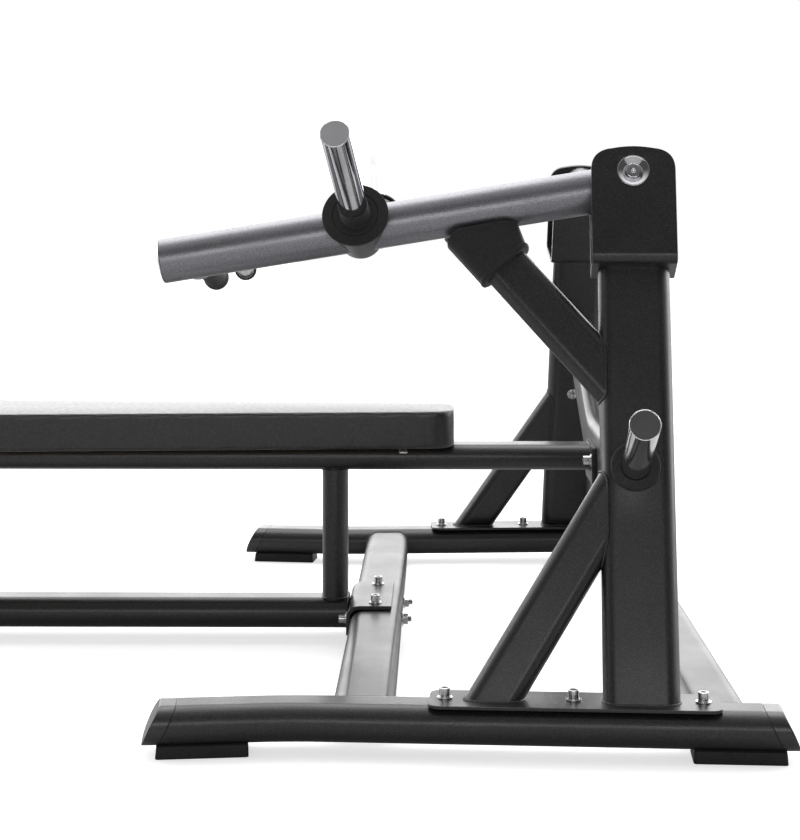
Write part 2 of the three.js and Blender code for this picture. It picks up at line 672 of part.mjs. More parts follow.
function footBar() {
  const left = ACROSS.clone().negate();
  return cut(
    footBarBar(hollow(FOOT_BAR.width, RAIL.height)),
    spaceBeyond(endJoint(vec(FOOT_BAR_X, FOOT_BAR.halfLength, 0), ACROSS), endPlaneNormal(ACROSS)),
    spaceBeyond(endJoint(vec(FOOT_BAR_X, -FOOT_BAR.halfLength, 0), left), endPlaneNormal(left)),
  );
}

// The upper tube carries the pad; its flange bolts to the yoke and two saddles hold the pad.
function benchUpperTube() {
  const { width, height, bottom, front } = UPPER_TUBE;
  const yokeFace = YOKE.x - YOKE.depth / 2 - GAP;
  const z = bottom + height / 2;
  const flangeFace = yokeFace - YOKE_FLANGE.thickness;
  const flangeZ = (YOKE_FLANGE.top + YOKE_FLANGE.bottom) / 2;
  const flangeHeight = YOKE_FLANGE.top - YOKE_FLANGE.bottom;
  const flangeShape = roundRect(2 * YOKE_FLANGE.halfWidth, flangeHeight, YOKE_FLANGE.corner);
  const flange = beam(flangeShape, vec(flangeFace, 0, flangeZ), vec(yokeFace, 0, flangeZ), ACROSS);
  const outline = beam(oval(width, height), vec(front, 0, z), vec(yokeFace - 1, 0, z), ACROSS);
  const bore = oval(width - 2 * WALL, height - 2 * WALL);
  const inside = beam(bore, vec(front - 10, 0, z), vec(flangeFace, 0, z), ACROSS);
  const saddles = [PAD_BRACKET.rearX, PAD_BRACKET.frontX].map(padSaddle);
  return cut(join(outline, flange, ...saddles), inside);
}

function padSaddle(x) {
  const { length, plate, bottom, corner } = PAD_BRACKET;
  const top = UPPER_TUBE.bottom + UPPER_TUBE.height + 0.6;
  const block = beam(
    roundRect(UPPER_TUBE.width + 2 * plate, 2 * (top - bottom), corner),
    vec(x - length / 2, 0, bottom),
    vec(x + length / 2, 0, bottom),
    ACROSS,
  );
  return cut(block, spaceBeyond(vec(x, 0, bottom), vec(0, 0, -1)));
}

function post(x) {
  const from = LOWER_TUBE.bottom + LOWER_TUBE.height + GAP;
  const to = UPPER_TUBE.bottom - GAP;
  return beam(hollow(POST.length, POST.width), vec(x, 0, from), vec(x, 0, to), ALONG);
}

// Half of the pad's width at a distance from the head end; it widens towards the foot end.
function padHalf(x) {
  return Math.min(PAD.maxHalf, PAD.headHalf + PAD.taper * (PAD.head - x));
}

function padOutline(inset) {
  const shoulder = PAD.head - (PAD.maxHalf - PAD.headHalf) / PAD.taper;
  const corner = PAD.corner - inset;
  const head = PAD.head - inset;
  const front = PAD.front + inset;
  const half = (x) => padHalf(x) - inset;
  const outline = new THREE.Shape();
  outline.moveTo(shoulder, half(shoulder));
  outline.lineTo(head - corner, half(head - corner));
  outline.quadraticCurveTo(head, half(head), head, half(head) - corner);
  outline.lineTo(head, -half(head) + corner);
  outline.quadraticCurveTo(head, -half(head), head - corner, -half(head - corner));
  outline.lineTo(shoulder, -half(shoulder));
  outline.lineTo(front + corner, -half(front));
  outline.quadraticCurveTo(front, -half(front), front, -half(front) + corner);
  outline.lineTo(front, half(front) - corner);
  outline.quadraticCurveTo(front, half(front), front + corner, half(front));
  return outline;
}

function backPad() {
  const body = extrude(padOutline(0), PAD.top - PAD.bottom).translate(0, 0, PAD.bottom);
  const recess = extrude(padOutline(BOARD.inset - GAP), BOARD.recess + 10).translate(0, 0, PAD.bottom - 10);
  return cut(body, recess);
}

function padBoard() {
  return extrude(padOutline(BOARD.inset), BOARD.thickness).translate(0, 0, PAD.bottom);
}

function tubePlug() {
  const { width, height, bottom, front } = UPPER_TUBE;
  const z = bottom + height / 2;
  const flange = beam(oval(width, height), vec(front - 4, 0, z), vec(front - GAP, 0, z), ACROSS);
  const inner = 2 * (WALL + GAP);
  const plugShape = oval(width - inner, height - inner);
  const plug = beam(plugShape, vec(front - 2, 0, z), vec(front + 16, 0, z), ACROSS);
  return join(flange, plug);
}

function buildBench() {
  const { halfLength, footY } = FOOT_BAR;
  const group = new THREE.Group();
  group.add(
    part('front_cross_member', crossMember(CROSS.frontX), 'frame'),
    part('rear_cross_member', crossMember(CROSS.rearX), 'frame'),
    part('yoke_beam', yokeBeam(), 'frame'),
    part('bench_bracket', benchBracket(), 'frame'),
    part('bench_lower_tube', benchLowerTube(), 'frame'),
    part('bench_upper_tube', benchUpperTube(), 'frame'),
    part('bench_tube_plug', tubePlug(), 'plastic'),
    part('rear_bench_post', post(POST.rearX), 'frame'),
    part('front_bench_post', post(POST.frontX), 'frame'),
    part('front_foot_bar', footBar(), 'frame'),
    part('foot_bar_left_cap', endCap(vec(FOOT_BAR_X, -halfLength, 0), ACROSS.clone().negate()), 'plastic'),
    part('foot_bar_right_cap', endCap(vec(FOOT_BAR_X, halfLength, 0), ACROSS), 'plastic'),
    part('foot_bar_left_foot', footBlock(Math.PI / 2).translate(FOOT_BAR_X, -footY, 0), 'rubber'),
    part('foot_bar_right_foot', footBlock(Math.PI / 2).translate(FOOT_BAR_X, footY, 0), 'rubber'),
    part('back_pad', backPad(), 'vinyl'),
    part('pad_board', padBoard(), 'plywood'),
  );
  return group;
}

function buildSide(side) {
  const group = new THREE.Group();
  group.add(buildRail(side), buildSideFrame(side));
  return group;
}

const benchPress = new THREE.Group();
const rightSide = buildSide('right');
rightSide.scale.y = -1;
benchPress.add(buildBench(), buildSide('left'), rightSide);
benchPress.updateMatrixWorld(true);

export default benchPress;
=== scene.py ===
"""Looks of a plate-loaded flat bench press with two lever arms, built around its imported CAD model.

Shapes are worked out in millimetres and turned into Blender's metres by make(). The left side is built in
its own leaning frame, taken from the left lever's hinge, and the right side is its mirror image.
"""
import json
import math
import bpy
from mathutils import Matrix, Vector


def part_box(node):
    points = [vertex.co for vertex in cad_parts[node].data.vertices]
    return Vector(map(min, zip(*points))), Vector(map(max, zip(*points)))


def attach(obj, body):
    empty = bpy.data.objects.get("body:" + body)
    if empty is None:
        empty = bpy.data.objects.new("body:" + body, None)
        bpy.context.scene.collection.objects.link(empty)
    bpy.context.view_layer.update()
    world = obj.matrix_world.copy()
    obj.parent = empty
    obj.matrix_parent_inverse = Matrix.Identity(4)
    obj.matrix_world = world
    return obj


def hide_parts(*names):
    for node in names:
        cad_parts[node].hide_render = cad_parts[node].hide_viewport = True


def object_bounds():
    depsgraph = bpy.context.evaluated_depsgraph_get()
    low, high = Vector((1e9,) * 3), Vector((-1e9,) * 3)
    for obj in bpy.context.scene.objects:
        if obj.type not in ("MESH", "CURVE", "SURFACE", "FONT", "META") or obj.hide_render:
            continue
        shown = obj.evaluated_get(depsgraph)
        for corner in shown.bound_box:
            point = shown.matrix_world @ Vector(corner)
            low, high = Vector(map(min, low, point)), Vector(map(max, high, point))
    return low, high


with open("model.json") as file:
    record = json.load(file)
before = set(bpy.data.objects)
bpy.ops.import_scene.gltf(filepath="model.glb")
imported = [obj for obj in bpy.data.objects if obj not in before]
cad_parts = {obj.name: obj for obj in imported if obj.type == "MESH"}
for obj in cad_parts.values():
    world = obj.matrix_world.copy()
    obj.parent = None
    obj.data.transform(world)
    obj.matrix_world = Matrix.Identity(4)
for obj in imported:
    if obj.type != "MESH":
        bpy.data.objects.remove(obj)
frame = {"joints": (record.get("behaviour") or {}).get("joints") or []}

from types import SimpleNamespace as Sizes

import bmesh
import bpy
from mathutils import Matrix, Vector
from mathutils.bvhtree import BVHTree

cad_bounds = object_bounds()

# ---- sizes in millimetres
MM = 0.001
TURN = 2 * math.pi
X, Y, Z = Vector((1, 0, 0)), Vector((0, 1, 0)), Vector((0, 0, 1))
FLIP = Matrix.Diagonal((1, -1, 1, 1))

GAP = 0.3
HALF_LENGTH = cad_bounds[1].x / MM
PIVOT_HEIGHT = 863.5
RAIL = Sizes(width=100, height=60, bottom=20, middle=50, front_x=-88.5, bend_x=141, bend_reach=60,
             front_yaw=math.radians(6.3), feet_x=(5, 838))
RAIL_END = Sizes(slant=28, cap=26, bulge=2.0, gap=0.6, spigot=0.93, spigot_depth=3)
FOOT = Sizes(length=144, width=70, height=19.7, corner=5)
CROSS = Sizes(width=100, height=50, middle=50, xs=(254.5, 812), sunk=12)
BASE_PLATE = Sizes(length=452, width=98, corner=18, x=585, bolts=(384, 584, 784))
UPRIGHT = Sizes(width=120, depth=50, top=702)
BRACE = Sizes(width=80, depth=42, middle=150)
LOWER_BRACE = Sizes(foot_x=-228, angle=math.radians(30.9))
UPPER_BRACE = Sizes(foot_x=-60.7, foot_z=533.5, angle=math.radians(41.2), reach=276)
BOOT = Sizes(width=104, depth=66, corner=26, overlap=42, lip=6, flare=math.radians(20.5), base=0.98)
BOOT_TOP = Sizes(sunk=2, front=306, front_normal=(0.55, 0.83), rear=197, rear_normal=(0.98, 0.2), groove=0.5)
CLEVIS = Sizes(width=142, depth=105, plate=8, bend=16, above=44, corner=35, crown=7)
PIN = Sizes(radius=12.5, drill=3.2, head_radius=24, head_height=7, recess_radius=8, recess=4)
DISH = Sizes(radius=27.5, rim=1.6)
ARM = Sizes(radius=38, length=816, rest=math.radians(9.8), offset=-7, hub_radius=41, hub_width=87.6)
BUSH = Sizes(radius=21, proud=0.5)
HORN = Sizes(along=475, tilt=math.radians(5), radius=23.5, tip=355)
HOUSING = Sizes(back=-44, front=54, back_radius=36.5, front_radius=51)
STOP = Sizes(radius=56.5, face=62.4, collar=24.9, collar_end=102, groove=38)
HANDLE = Sizes(along=762, rise=math.radians(10.3), radius=14, length=262, flange=34, flange_end=50)
GRIP = Sizes(radius=19, start=62, end=268, lip=23, lip_width=9, rib=7)
STORAGE = Sizes(x=-4, z=363, length=285, collar=40, collar_height=9)
YOKE = Sizes(width=120, depth=50, x=710, middle=365, half=150, side_y=618, side_z=545, bend=60, sunk=15)
LOWER_TUBE = Sizes(width=100, height=60, middle=50)
UPPER_TUBE = Sizes(width=100, height=50, middle=360, front=-740)
YOKE_FLANGE = Sizes(thickness=8.7, half_width=75, bottom=311, top=386, corner=12, bolt_y=62, bolt_z=359)
POST = Sizes(length=50, width=78, xs=(169.5, -721), sunk=4)
BRACKET = Sizes(plate=8, half_width=120, bottom=26, top=83.3, reach=80, bend=28)
BRACKET_BOLTS = Sizes(top_x=48, top_y=90, side_y=78)
FOOT_BAR = Sizes(width=100, half_length=300, foot_y=228)
PAD = Sizes(head=407, front=-791, bottom=386.3, top=455, head_half=86, taper=0.065, half=150, corner=46)
SWELL = Sizes(voxel=5, held=3, most=2.4, pressure=4, steps=20)
SEAM = Sizes(radius=0.7, spacing=6, below_top=3, above_bottom=2)
BOARD = Sizes(inset=26, thickness=12, proud=0.2, edge=0.8)
SADDLE = Sizes(length=57, wrap=3, bottom=343, top=385.6, xs=(306, -560))
PAD_SCREW = Sizes(outside=11, depth=13)
WELD = Sizes(radius=2.3, ripple=0.35, pitch=4.6, spacing=1.6)
BOLT = Sizes(head=8.7, height=12.5, socket=4.6, socket_depth=6, widest=9, washer=12.6, washer_height=2.4,
             spring_height=1.6, bore=4)
FRAME_NUT = Sizes(apothem=9.5, height=9, stud=5.6, proud=7)
STORAGE_NUT = Sizes(apothem=9, height=9, stud=6, proud=4)
CAMERA = Sizes(sensor=36, lens=77.14, shift=(-0.0224, -0.2408), place=(0.369, -3.6035, 0.8353), yaw=0.0091)


# ---- camera
def add_camera():
    data = bpy.data.cameras.new("camera")
    data.sensor_width = CAMERA.sensor
    data.lens = CAMERA.lens
    data.shift_x, data.shift_y = CAMERA.shift
    camera = bpy.data.objects.new("camera", data)
    camera.location = CAMERA.place
    camera.rotation_euler = (TURN / 4, 0, CAMERA.yaw)
    bpy.context.scene.collection.objects.link(camera)
    bpy.context.scene.camera = camera


add_camera()


# ---- outlines
def flat(x, y):
    return Vector((x, y, 0))


def at_height(outline, z):
    return [Vector((p.x, p.y, z)) for p in outline]


def round_rect(width, height, radius, steps=10):
    """A rectangle with round corners, as a loop of points."""
    points = []
    for quarter, (sx, sy) in enumerate(((1, 1), (-1, 1), (-1, -1), (1, -1))):
        centre = flat(sx * (width / 2 - radius), sy * (height / 2 - radius))
        for i in range(steps + 1):
            angle = TURN / 4 * (quarter + i / steps)
            points.append(centre + radius * flat(math.cos(angle), math.sin(angle)))
    return points


def oval(width, height):
    """A flat oval: its short sides are half circles."""
    return round_rect(width, height, min(width, height) / 2, steps=24)


def polar(radius_at, height, steps=72):
    """A closed ring whose radius is a function of the angle."""
    angles = [TURN * i / steps for i in range(steps)]
    return [Vector((radius_at(a) * math.cos(a), radius_at(a) * math.sin(a), height)) for a in angles]


def circle(radius, height=0.0, steps=72):
    return polar(lambda angle: radius, height, steps)


def hexagon(apothem, height, most):
    """A hexagon no wider than `most`, with the same number of points as a circle."""
    half = TURN / 12
    return polar(lambda angle: min(apothem / math.cos((angle + half) % (2 * half) - half), most), height)


def quadratic(start, corner, end, steps):
    return [start.lerp(corner, i / steps).lerp(corner.lerp(end, i / steps), i / steps)
            for i in range(steps + 1)]


def rounded(corners, radius, steps=3, closed=False):
    """The same line with its corners rounded off."""
    points = [Vector(c) for c in corners]
    if closed:
        points = [points[-1], *points, points[0]]
    result = []
    for before, corner, after in zip(points, points[1:], points[2:]):
        back = min(radius, (before - corner).length / 2)
        ahead = min(radius, (after - corner).length / 2)
        start = corner + (before - corner).normalized() * back
        end = corner + (after - corner).normalized() * ahead
        result += quadratic(start, corner, end, steps)
    return result if closed else [points[0], *result, points[-1]]


# ---- shapes: (vertices, faces)
def loft(rings, closed=False):
    """A solid through rings of equally many points; a closed one joins its last ring to its first."""
    count = len(rings[0])
    verts = [point for ring in rings for point in ring]
    faces = []
    for r in range(len(rings) if closed else len(rings) - 1):
        here, there = r * count, (r + 1) % len(rings) * count
        faces += [(here + i, here + (i + 1) % count, there + (i + 1) % count, there + i)
                  for i in range(count)]
    if not closed:
        faces.append(tuple(reversed(range(count))))
        faces.append(tuple(range(len(verts) - count, len(verts))))
    return verts, faces


def moved(shape, matrix):
    return [matrix @ point for point in shape[0]], shape[1]


def axes(origin, x_axis, y_axis, z_axis):
    matrix = Matrix((x_axis, y_axis, z_axis)).transposed().to_4x4()
    matrix.translation = origin
    return matrix


def aim(direction, origin=Vector()):
    """Turns a shape that points along Z so that it points along a direction."""
    return Matrix.Translation(origin) @ Vector(direction).to_track_quat("Z", "Y").to_matrix().to_4x4()


def lathe(profile, soft=1.0, closed=False, steps=72):
    """A turned shape; the profile's points are (radius, height) and its corners are softened."""
    line = rounded([flat(*point) for point in profile], soft, closed=closed)
    return loft([circle(max(point.x, 0), point.y, steps) for point in line], closed)


def rod(radius, low, high, soft, steps=72):
    return lathe([(0, low), (radius, low), (radius, high), (0, high)], soft, steps=steps)


def sleeve(bore, radius, low, high, soft):
    return lathe([(bore, low), (radius, low), (radius, high), (bore, high)], soft, closed=True)


def stack(outline, levels):
    """A solid with a level outline at each (inset, height); the outline is a function of its inset."""
    return loft([at_height(outline(inset), z) for inset, z in levels])


def drawn_in(width, height, corner):
    """A rectangle with round corners, as a function of how far it is drawn in."""
    return lambda inset: round_rect(width - 2 * inset, height - 2 * inset, corner - inset)


def slab(width, height, corner, low, high, edge):
    """A plate with round corners and softened edges, lying flat."""
    chamfer = edge * 0.3
    levels = ((edge, low), (chamfer, low + chamfer), (0, low + edge), (0, high - edge),
              (chamfer, high - chamfer), (edge, high))
    return stack(drawn_in(width, height, corner), levels)


def section_ring(outline, centre, along, across):
    """An outline stood across a bar; its x axis lies towards `across`."""
    z_axis = along.normalized()
    y_axis = z_axis.cross(across).normalized()
    x_axis = y_axis.cross(z_axis)
    return [centre + x_axis * point.x + y_axis * point.y for point in outline]


def slide(ring, along, point, normal):
    """Moves a ring's points along a bar until they lie in a plane."""
    return [p + along * ((point - p).dot(normal) / along.dot(normal)) for p in ring]


def bar(outline, start, end, across):
    return loft([section_ring(outline, point, end - start, across) for point in (start, end)])


def sweep_rings(outline, stations, across):
    rings = []
    for i, station in enumerate(stations):
        ahead = stations[min(i + 1, len(stations) - 1)]
        behind = stations[max(i - 1, 0)]
        rings.append(section_ring(outline, station, ahead - behind, across))
    return rings


def resampled(points, spacing):
    """A closed line's points at equal steps."""
    loop = [*points, points[0]]
    lengths = [(b - a).length for a, b in zip(loop, loop[1:])]
    total = sum(lengths)
    count = max(12, round(total / spacing))
    result, index, passed = [], 0, 0.0
    for i in range(count):
        target = total * i / count
        while passed + lengths[index] < target:
            passed += lengths[index]
            index += 1
        result.append(loop[index].lerp(loop[index + 1], (target - passed) / max(lengths[index], 1e-9)))
    return result


def closed_tube(points, radius, normal, steps=8):
    """A tube along a closed line; radius is a function of the point's number."""
    rings = []
    for i, point in enumerate(points):
        along = (points[(i + 1) % len(points)] - points[i - 1]).normalized()
        side = along.cross(normal).normalized()
        up = side.cross(along)
        rings.append([point + side * p.x + up * p.y for p in circle(radius(i), steps=steps)])
    return loft(rings, closed=True)


def meet(ring, along, shape):
    """Where the lines from a ring, going along a bar, first meet a shape."""
    tree = BVHTree.FromPolygons(shape[0], shape[1])
    hits = [tree.ray_cast(point, along)[0] for point in ring]
    return [hit for hit in hits if hit is not None]


def coped(ring, along, shape):
    """A brace's end, cut to an upright's round edge; narrowed a little, so that no line can miss it."""
    narrowed = [Vector((p.x, p.y * 0.985, p.z)) for p in ring]
    return [Vector((hit.x, p.y, hit.z)) for hit, p in zip(meet(narrowed, along, shape), ring)]


# ---- materials
def add_node(tree, kind, inputs, **settings):
    """A shader node whose inputs are set to values or linked to other nodes' outputs."""
    node = tree.nodes.new("ShaderNode" + kind)
    for name, value in settings.items():
        setattr(node, name, value)
    for name, value in inputs.items():
        if isinstance(value, bpy.types.NodeSocket):
            tree.links.new(value, node.inputs[name])
        else:
            node.inputs[name].default_value = value
    return node


class Look:
    """A Principled material with procedural detail in object coordinates."""

    def __init__(self, name, colour, roughness, metallic=0.0):
        self.material = bpy.data.materials.new(name)
        self.material.use_nodes = True
        self.tree = self.material.node_tree
        self.shader = self.tree.nodes["Principled BSDF"]
        self.place = add_node(self.tree, "TexCoord", {}).outputs["Object"]
        self.set(Base_Color=(*colour, 1), Roughness=roughness, Metallic=metallic)

    def set(self, **values):
        for name, value in values.items():
            self.shader.inputs[name.replace("_", " ")].default_value = value

    def drive(self, name, output):
        self.tree.links.new(output, self.shader.inputs[name])

    def noise(self, scale, detail=2.0, place=None):
        inputs = {"Vector": place or self.place, "Scale": scale, "Detail": detail}
        return add_node(self.tree, "TexNoise", inputs).outputs["Fac"]

    def cells(self, scale):
        inputs = {"Vector": self.place, "Scale": scale}
        return add_node(self.tree, "TexVoronoi", inputs, feature="DISTANCE_TO_EDGE").outputs["Distance"]

    def ranged(self, value, low, high, to_low, to_high):
        inputs = {"Value": value, "From Min": low, "From Max": high, "To Min": to_low, "To Max": to_high}
        return add_node(self.tree, "MapRange", inputs).outputs["Result"]

    def colours(self, value, *stops):
        """Colour stops are (position, (r, g, b))."""
        ramp = add_node(self.tree, "ValToRGB", {"Fac": value})
        elements = ramp.color_ramp.elements
        while len(elements) < len(stops):
            elements.new(0.5)
        for element, (position, colour) in zip(elements, stops):
            element.position = position
            element.color = (*colour, 1)
        self.drive("Base Color", ramp.outputs["Color"])

    def roughness(self, value, low, high):
        self.drive("Roughness", self.ranged(value, 0.3, 0.7, low, high))

    def bump(self, *layers):
        """Each layer is (height, strength, distance in metres); they stack."""
        below = {}
        for height, strength, distance in layers:
            inputs = {"Height": height, "Strength": strength, "Distance": distance, **below}
            below = {"Normal": add_node(self.tree, "Bump", inputs).outputs["Normal"]}
        self.drive("Normal", below["Normal"])


def grey(value):
    return (value, value, value * 1.03)


def frame_look():
    look = Look("black_powder_coat", grey(0.01), 0.36)
    look.colours(look.noise(430, 3), (0.36, grey(0.005)), (0.5, grey(0.009)), (0.68, grey(0.028)))
    look.roughness(look.noise(9, 3), 0.34, 0.44)
    look.bump((look.noise(520), 0.6, 0.0007), (look.noise(60), 0.06, 0.001))
    look.set(Specular_IOR_Level=0.6, Coat_Weight=0.3, Coat_Roughness=0.22)
    return look.material


def arm_look():
    look = Look("silver_grey_paint", (0.28, 0.275, 0.3), 0.34, 0.85)
    dark, middle, light = (0.21, 0.206, 0.225), (0.28, 0.275, 0.3), (0.38, 0.375, 0.405)
    look.colours(look.noise(620), (0.34, dark), (0.52, middle), (0.7, light))
    look.roughness(look.noise(14, 3), 0.36, 0.42)
    look.bump((look.noise(620), 0.2, 0.0004), (look.noise(45), 0.05, 0.0008))
    look.set(Coat_Weight=0.3, Coat_Roughness=0.25)
    return look.material


def chrome_look():
    look = Look("chrome", grey(0.82), 0.07, 1.0)
    look.roughness(look.noise(35, 4), 0.05, 0.11)
    look.colours(look.noise(20, 3), (0.3, grey(0.76)), (0.7, grey(0.86)))
    look.bump((look.noise(220), 0.02, 0.0002), (look.noise(18), 0.02, 0.0005))
    return look.material


def zinc_look():
    look = Look("bright_zinc", grey(0.72), 0.22, 1.0)
    look.colours(look.noise(160, 3), (0.3, (0.6, 0.61, 0.62)), (0.7, (0.8, 0.8, 0.79)))
    look.roughness(look.noise(240, 3), 0.16, 0.32)
    look.bump((look.noise(900), 0.12, 0.0002))
    return look.material


def rubber_look():
    look = Look("black_rubber", grey(0.016), 0.6)
    look.colours(look.noise(300, 3), (0.35, grey(0.007)), (0.65, grey(0.018)))
    look.roughness(look.noise(18, 3), 0.52, 0.66)
    look.bump((look.noise(520), 0.3, 0.0005), (look.noise(40), 0.15, 0.001))
    look.set(Specular_IOR_Level=0.45, Sheen_Weight=0.08, Sheen_Roughness=0.5)
    return look.material


def plastic_look():
    look = Look("moulded_plastic", grey(0.014), 0.38)
    look.colours(look.noise(380, 3), (0.36, grey(0.006)), (0.66, grey(0.018)))
    look.roughness(look.noise(12, 3), 0.34, 0.42)
    look.bump((look.noise(600), 0.3, 0.0005), (look.noise(50), 0.06, 0.0008))
    look.set(Specular_IOR_Level=0.6, Coat_Weight=0.5, Coat_Roughness=0.25)
    return look.material


def grip_look():
    look = Look("grip_rubber", grey(0.03), 0.62)
    look.colours(look.noise(700, 3), (0.36, grey(0.018)), (0.66, grey(0.07)))
    look.roughness(look.noise(25, 3), 0.55, 0.7)
    look.bump((look.cells(420), 0.35, 0.0006))
    look.set(Specular_IOR_Level=0.6)
    return look.material


def vinyl_look():
    look = Look("black_vinyl", grey(0.02), 0.42)
    look.colours(look.noise(210, 4), (0.32, grey(0.006)), (0.52, grey(0.011)), (0.7, grey(0.022)))
    look.roughness(look.noise(120, 4), 0.36, 0.5)
    pebble, pores, waves = look.cells(330), look.noise(820), look.noise(16, 3)
    look.bump((pebble, 0.16, 0.0005), (pores, 0.16, 0.0004), (waves, 0.06, 0.001))
    look.set(Specular_IOR_Level=0.6, Coat_Weight=0.35, Coat_Roughness=0.25)
    look.set(Sheen_Weight=0.06, Sheen_Roughness=0.4)
    return look.material


def plywood_look():
    look = Look("plywood", (0.42, 0.29, 0.17), 0.7)
    along_grain = add_node(look.tree, "Mapping", {"Vector": look.place, "Scale": (0.12, 1.6, 14)})
    grain = look.noise(30, 6, along_grain.outputs["Vector"])
    look.colours(grain, (0.3, (0.25, 0.15, 0.08)), (0.5, (0.42, 0.29, 0.17)), (0.75, (0.58, 0.43, 0.28)))
    look.roughness(look.noise(60, 3), 0.6, 0.8)
    look.bump((grain, 0.4, 0.0006))
    return look.material


def bronze_look():
    look = Look("sintered_bronze", (0.5, 0.33, 0.16), 0.38, 1.0)
    look.colours(look.noise(500, 3), (0.35, (0.3, 0.19, 0.09)), (0.65, (0.56, 0.38, 0.2)))
    look.roughness(look.noise(200, 3), 0.3, 0.5)
    look.bump((look.noise(900), 0.2, 0.0003))
    return look.material


MATERIALS = {
    "frame": frame_look(), "arm": arm_look(), "chrome": chrome_look(), "zinc": zinc_look(),
    "rubber": rubber_look(), "plastic": plastic_look(), "grip": grip_look(), "vinyl": vinyl_look(),
    "plywood": plywood_look(), "bronze": bronze_look(),
}


# ---- pieces
def make(name, shapes, matrix=Matrix(), edge=0.0, sharp=38):
    """One object from shapes in millimetres, with an optional bevel on its edges."""
    mesh = bpy.data.meshes.new(name)
    verts, faces = [], []
    for shape_verts, shape_faces in shapes:
        faces += [tuple(len(verts) + i for i in face) for face in shape_faces]
        verts += [(matrix @ point) * MM for point in shape_verts]
    mesh.from_pydata(verts, [], faces)
    work = bmesh.new()
    work.from_mesh(mesh)
    bmesh.ops.remove_doubles(work, verts=work.verts, dist=1e-6)
    bmesh.ops.dissolve_degenerate(work, edges=work.edges, dist=1e-7)
    bmesh.ops.recalc_face_normals(work, faces=work.faces)
    work.to_mesh(mesh)
    work.free()
    mesh.polygons.foreach_set("use_smooth", [True] * len(mesh.polygons))
    mesh.set_sharp_from_angle(angle=math.radians(sharp))
    obj = bpy.data.objects.new(name, mesh)
    bpy.context.scene.collection.objects.link(obj)
    if edge:
        bevel = obj.modifiers.new("edge", "BEVEL")
        bevel.width = edge * MM
        bevel.segments = 3
        bevel.limit_method = "ANGLE"
        bevel.angle_limit = math.radians(sharp)
    weights = obj.modifiers.new("normals", "WEIGHTED_NORMAL")
    weights.keep_sharp = True
    return obj


def carve(obj, shape, matrix):
    """Cuts a shape out of an object."""
    tool = make("cutter", [shape], matrix)
    hole = obj.modifiers.new("hole", "BOOLEAN")
    hole.object = tool
    hole.solver = "EXACT"
    bpy.context.view_layer.update()
    graph = bpy.context.evaluated_depsgraph_get()
    cut = bpy.data.meshes.new_from_object(obj.evaluated_get(graph))
    obj.modifiers.remove(hole)
    obj.data = cut
    bpy.data.objects.remove(tool)


def show(obj, body, slot, *nodes):
    """Gives a piece its material and its body, and hides the CAD nodes that it stands for."""
    obj.data.materials.clear()
    obj.data.materials.append(MATERIALS[slot])
    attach(obj, body)
    if nodes:
        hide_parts(*nodes)


def add(name, shapes, slot, *nodes, matrix=Matrix(), body="frame", edge=0.0, sharp=38):
    show(make(name, shapes, matrix, edge, sharp), body, slot, *nodes)


def adder(side, matrix, body="frame"):
    """A function that adds one side's pieces; their names and nodes start with the side's name."""
    def put(name, shapes, slot, *nodes, place=Matrix(), **options):
        nodes = [f"{side}_{node}" for node in nodes]
        add(f"{side}_{name}", shapes, slot, *nodes, matrix=matrix @ place, body=body, **options)
    return put


def weld(name, points, normal, matrix=Matrix()):
    """A rippled bead under the paint, along a closed line."""
    ripple = TURN * WELD.spacing / WELD.pitch
    line = resampled(points, WELD.spacing)
    bead = closed_tube(line, lambda i: WELD.radius + WELD.ripple * math.sin(ripple * i), normal)
    add(name, [bead], "frame", matrix=matrix, sharp=180)


# ---- frames of the two sides
def left_side_frame():
    """X runs back along the rail, Y inwards through the leaning plane, Z up the upright from its foot."""
    hinge = next(j for j in frame["joints"] if j["name"] == "left_lever_pivot")
    inward = Vector(hinge["axis"]).normalized()
    yaw = math.atan2(inward.x, inward.y)
    along = Vector((math.cos(yaw), -math.sin(yaw), 0))
    up = along.cross(inward)
    return yaw, axes(Vector(hinge["pos_m"]) / MM - up * PIVOT_HEIGHT, along, inward, up)


def leaning(angle):
    """A direction in a side's own plane, turned from straight up towards the rear."""
    return Vector((math.sin(angle), 0, math.cos(angle)))


YAW, LEFT_FRAME = left_side_frame()
MIRRORS = {"left": Matrix(), "right": FLIP}
LEVEL = LEFT_FRAME.to_3x3().transposed() @ Z
PLATE_BOTTOM, PLATE_TOP = (corner.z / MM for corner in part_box("left_base_plate"))
FLOOR_POINT = LEFT_FRAME.inverted() @ (LEFT_FRAME.translation + Z * (PLATE_TOP - LEFT_FRAME.translation.z))
ARM_FRAME = Matrix.Translation(Z * PIVOT_HEIGHT) @ Matrix.Rotation(-ARM.rest, 4, "Y")
RAIL_BACK = Vector((math.cos(YAW), -math.sin(YAW), 0))
RAIL_FRONT = Vector((-math.cos(RAIL.front_yaw), -math.sin(RAIL.front_yaw), 0))
UPPER_ROOT = Vector((UPPER_BRACE.foot_x, 0, UPPER_BRACE.foot_z))
UPPER_RISE = leaning(-UPPER_BRACE.angle)


def rail_point(x, z=RAIL.middle):
    """The left rail's centre line at a given X."""
    foot = LEFT_FRAME.translation
    y = foot.y - (max(x, RAIL.bend_x) - foot.x) * math.tan(YAW)
    if x < RAIL.bend_x:
        y -= (RAIL.bend_x - x) * math.tan(RAIL.front_yaw)
    return Vector((x, y, z))


def on_rail(x, turn):
    return Matrix.Translation(rail_point(x, 0)) @ Matrix.Rotation(turn, 4, "Z")


